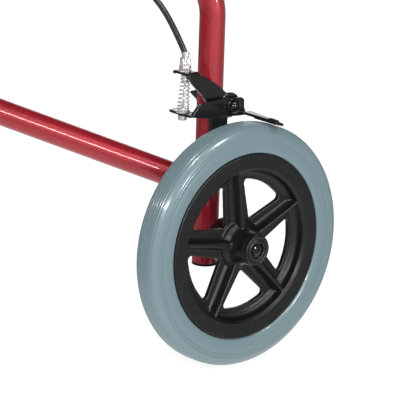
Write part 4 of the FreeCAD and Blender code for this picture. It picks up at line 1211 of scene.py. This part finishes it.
def cushion_mesh():
    """Padded cushion: blown up, flat where it rests on the board, with a shallow channel down its middle."""
    low, high = CUSHION_BOX
    thick = (high.z - low.z) / MM
    core = flat_plate([point * MM for point in pad_outline(6, 30)], (thick - 11) * MM, 12 * MM)
    core = shifted(core, CUSHION - Z * 1.5 * MM)
    shape = swollen(core, 5 * MM, 4.0, 8 * MM)
    shape = applied(shape, ("SMOOTH", {"factor": 0.5, "iterations": 3}), ("SUBSURF", {"levels": 1}))
    for vertex in shape.vertices:
        across = (vertex.co.x - CUSHION.x) / HALF_WIDTH
        along = (vertex.co.y - CUSHION.y) / HALF_LENGTH
        if vertex.co.z > CUSHION.z:
            crown = 3.5 * MM * max(0, 1 - across ** 2) * max(0, 1 - along ** 2)
            fade = min(1, max(0, (0.80 - abs(along)) / 0.16))
            channel = 7 * MM * exp(-((vertex.co.x - CUSHION.x) / (8 * MM)) ** 2) * fade
            vertex.co.z = min(vertex.co.z + crown - channel, high.z + 6 * MM)
        vertex.co.z = max(vertex.co.z, low.z + 0.3 * MM)
    return shape


def side_line(tree, level):
    """Places round the cushion's side at a level, with the directions outward there."""
    line = []
    outline = pad_outline(-20, 50, 24)
    dense = []
    for here, after in zip(outline, outline[1:] + outline[:1]):
        parts = max(1, int((after - here).length / 3))
        dense += [here.lerp(after, part / parts) for part in range(parts)]
    for point in dense:
        start = Vector((CUSHION.x + point.x * MM, CUSHION.y + point.y * MM, level))
        core_y = CUSHION.y + max(-0.09, min(0.09, start.y - CUSHION.y))
        hit, normal, _, _ = tree.ray_cast(start, (Vector((CUSHION.x, core_y, level)) - start).normalized())
        if hit:
            line.append((hit, normal))
    return line


def cushion():
    """The cushion, a cord round its top and its foot, and stitches beside them and down its middle."""
    low, high = CUSHION_BOX
    shape = cushion_mesh()
    made = piece("knee_cushion_look", shape, VINYL, "post", "cushion", "knee_cushion", sharp=80)
    solid = bmesh.new()
    solid.from_mesh(shape)
    tree = BVHTree.FromBMesh(solid)
    solid.free()

    top = side_line(tree, high.z - 13 * MM)
    foot = side_line(tree, low.z + 9 * MM)
    cords = []
    for line in (top, foot):
        cords.append(loop_mesh([place + out * 0.6 * MM for place, out in line], [2.1 * MM] * len(line), 10))
    piping = joined("piping", cords)
    welt = piece("knee_cushion_piping", piping, VINYL, "post", "cushion", "knee_cushion", sharp=80)
    rows = []
    for line, lift in ((top, 5.2), (top, -5.2), (foot, 5.2)):
        rows += sewn_rows(tree, [place + Z * lift * MM for place, _ in line + line[:1]])
    parts = [2 * k / 159 - 1 for k in range(160)]
    channel = [Vector((CUSHION.x, CUSHION.y + part * HALF_LENGTH * 0.72, high.z)) for part in parts]
    for across in (-9.5, 9.5):
        rows += sewn_rows(tree, [place + X * across * MM for place in channel])
    piece("knee_cushion_stitches", joined("stitches", rows), THREAD, "post", "cushion", "knee_cushion")


def board():
    """Moulded board under the cushion, held by four bolts through the post's plate."""
    low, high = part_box("knee_board")
    slab = flat_plate([point * MM for point in pad_outline(6, 30)], high.z - low.z, 2.2 * MM)
    piece("knee_board_look", shifted(slab, (low + high) / 2), BOARD, "post", "board", "knee_board")
    bolts = []
    for across in (-35, 35):
        for along in (-60, 60):
            place = Vector((across * MM, SEAT.y + along * MM, low.z - 4 * MM))
            bolts.append(at_axis(washer(7.0, 1.0), place, -Z))
            bolts.append(at_axis(hexagon(5.6, 3.8), place - Z * 1.0 * MM, -Z))
    piece("board_bolts", joined("bolts", bolts), ZINC, "post", "zinc")


cushion()
board()


# ======== handlebar grips
def grips():
    """Ribbed foam grips with rounded ends."""
    low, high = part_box("grips")
    length = 115.0
    start = Vector((high.x - length * MM, (low.y + high.y) / 2, (low.z + high.z) / 2))
    profile = [(0, 11.15), (0, 14.4), (0.8, 15.3)]
    for step in range(1, 200):
        along = 1.2 + 110 * step / 200
        rib = 0.55 * max(0, sin(pi * (along - 12) / 3.6)) ** 2 if 12 < along < 98 else 0
        profile.append((along, 15.3 - 1.1 * rib))
    profile += [(112.6, 15.2), (114.2, 14.0), (length, 11.5), (115.4, 6), (115.5, 0), (112.2, 0)]
    profile += [(112.1, 11.15)]
    mesh = lathe([(along * MM, radius * MM) for along, radius in profile], start, X, 56)
    for side, hand in SIDES:
        piece(f"grip_{hand}", sided(mesh, side), FOAM, "stem", "foam_grip", "grips", sharp=50)


grips()


# ======== steel that keeps its CAD shape
FINISHES = {
    "red_paint": RED, "black_steel": BLACK, "zinc": ZINC, "rim_plastic": NYLON, "tyre": TYRE,
    "cable_sheath": SHEATH, "rubber": RUBBER, "foam_grip": FOAM, "cushion": VINYL, "board": BOARD,
}


def soften_steel():
    """Copies of the plain steel parts with their sharp edges rounded over."""
    record = frame["record"]
    slots = {part["node"]: part["material_slot"] for part in record["subparts"]}
    body_of = {node: body for body, nodes in record["behaviour"]["bodies"].items() for node in nodes}
    widths = {
        "knuckle_left": 0.9, "knuckle_right": 0.9, "steering_shaft": 0.9, "folding_column": 0.7,
        "post_clamp": 0.9, "stem_tube": 0.6, "lever_perches": 0.8, "brake_lever_left": 1.6,
        "brake_lever_right": 1.6, "column_lever": 1.1, "post_lever": 1.1, "knee_post": 0.6,
        "front_beam": 0.7, "fold_pin": 0.7,
    }
    for node, width in widths.items():
        slot = slots[node]
        piece(f"{node}_look", softened(node, width * MM), FINISHES[slot], body_of[node], slot, node)


def dress():
    """Give each CAD node that stays its finish."""
    for node in frame["nodes"].values():
        for slot in node.material_slots:
            slot.material = FINISHES[slot.material.name.split(".")[0]]


soften_steel()
dress()
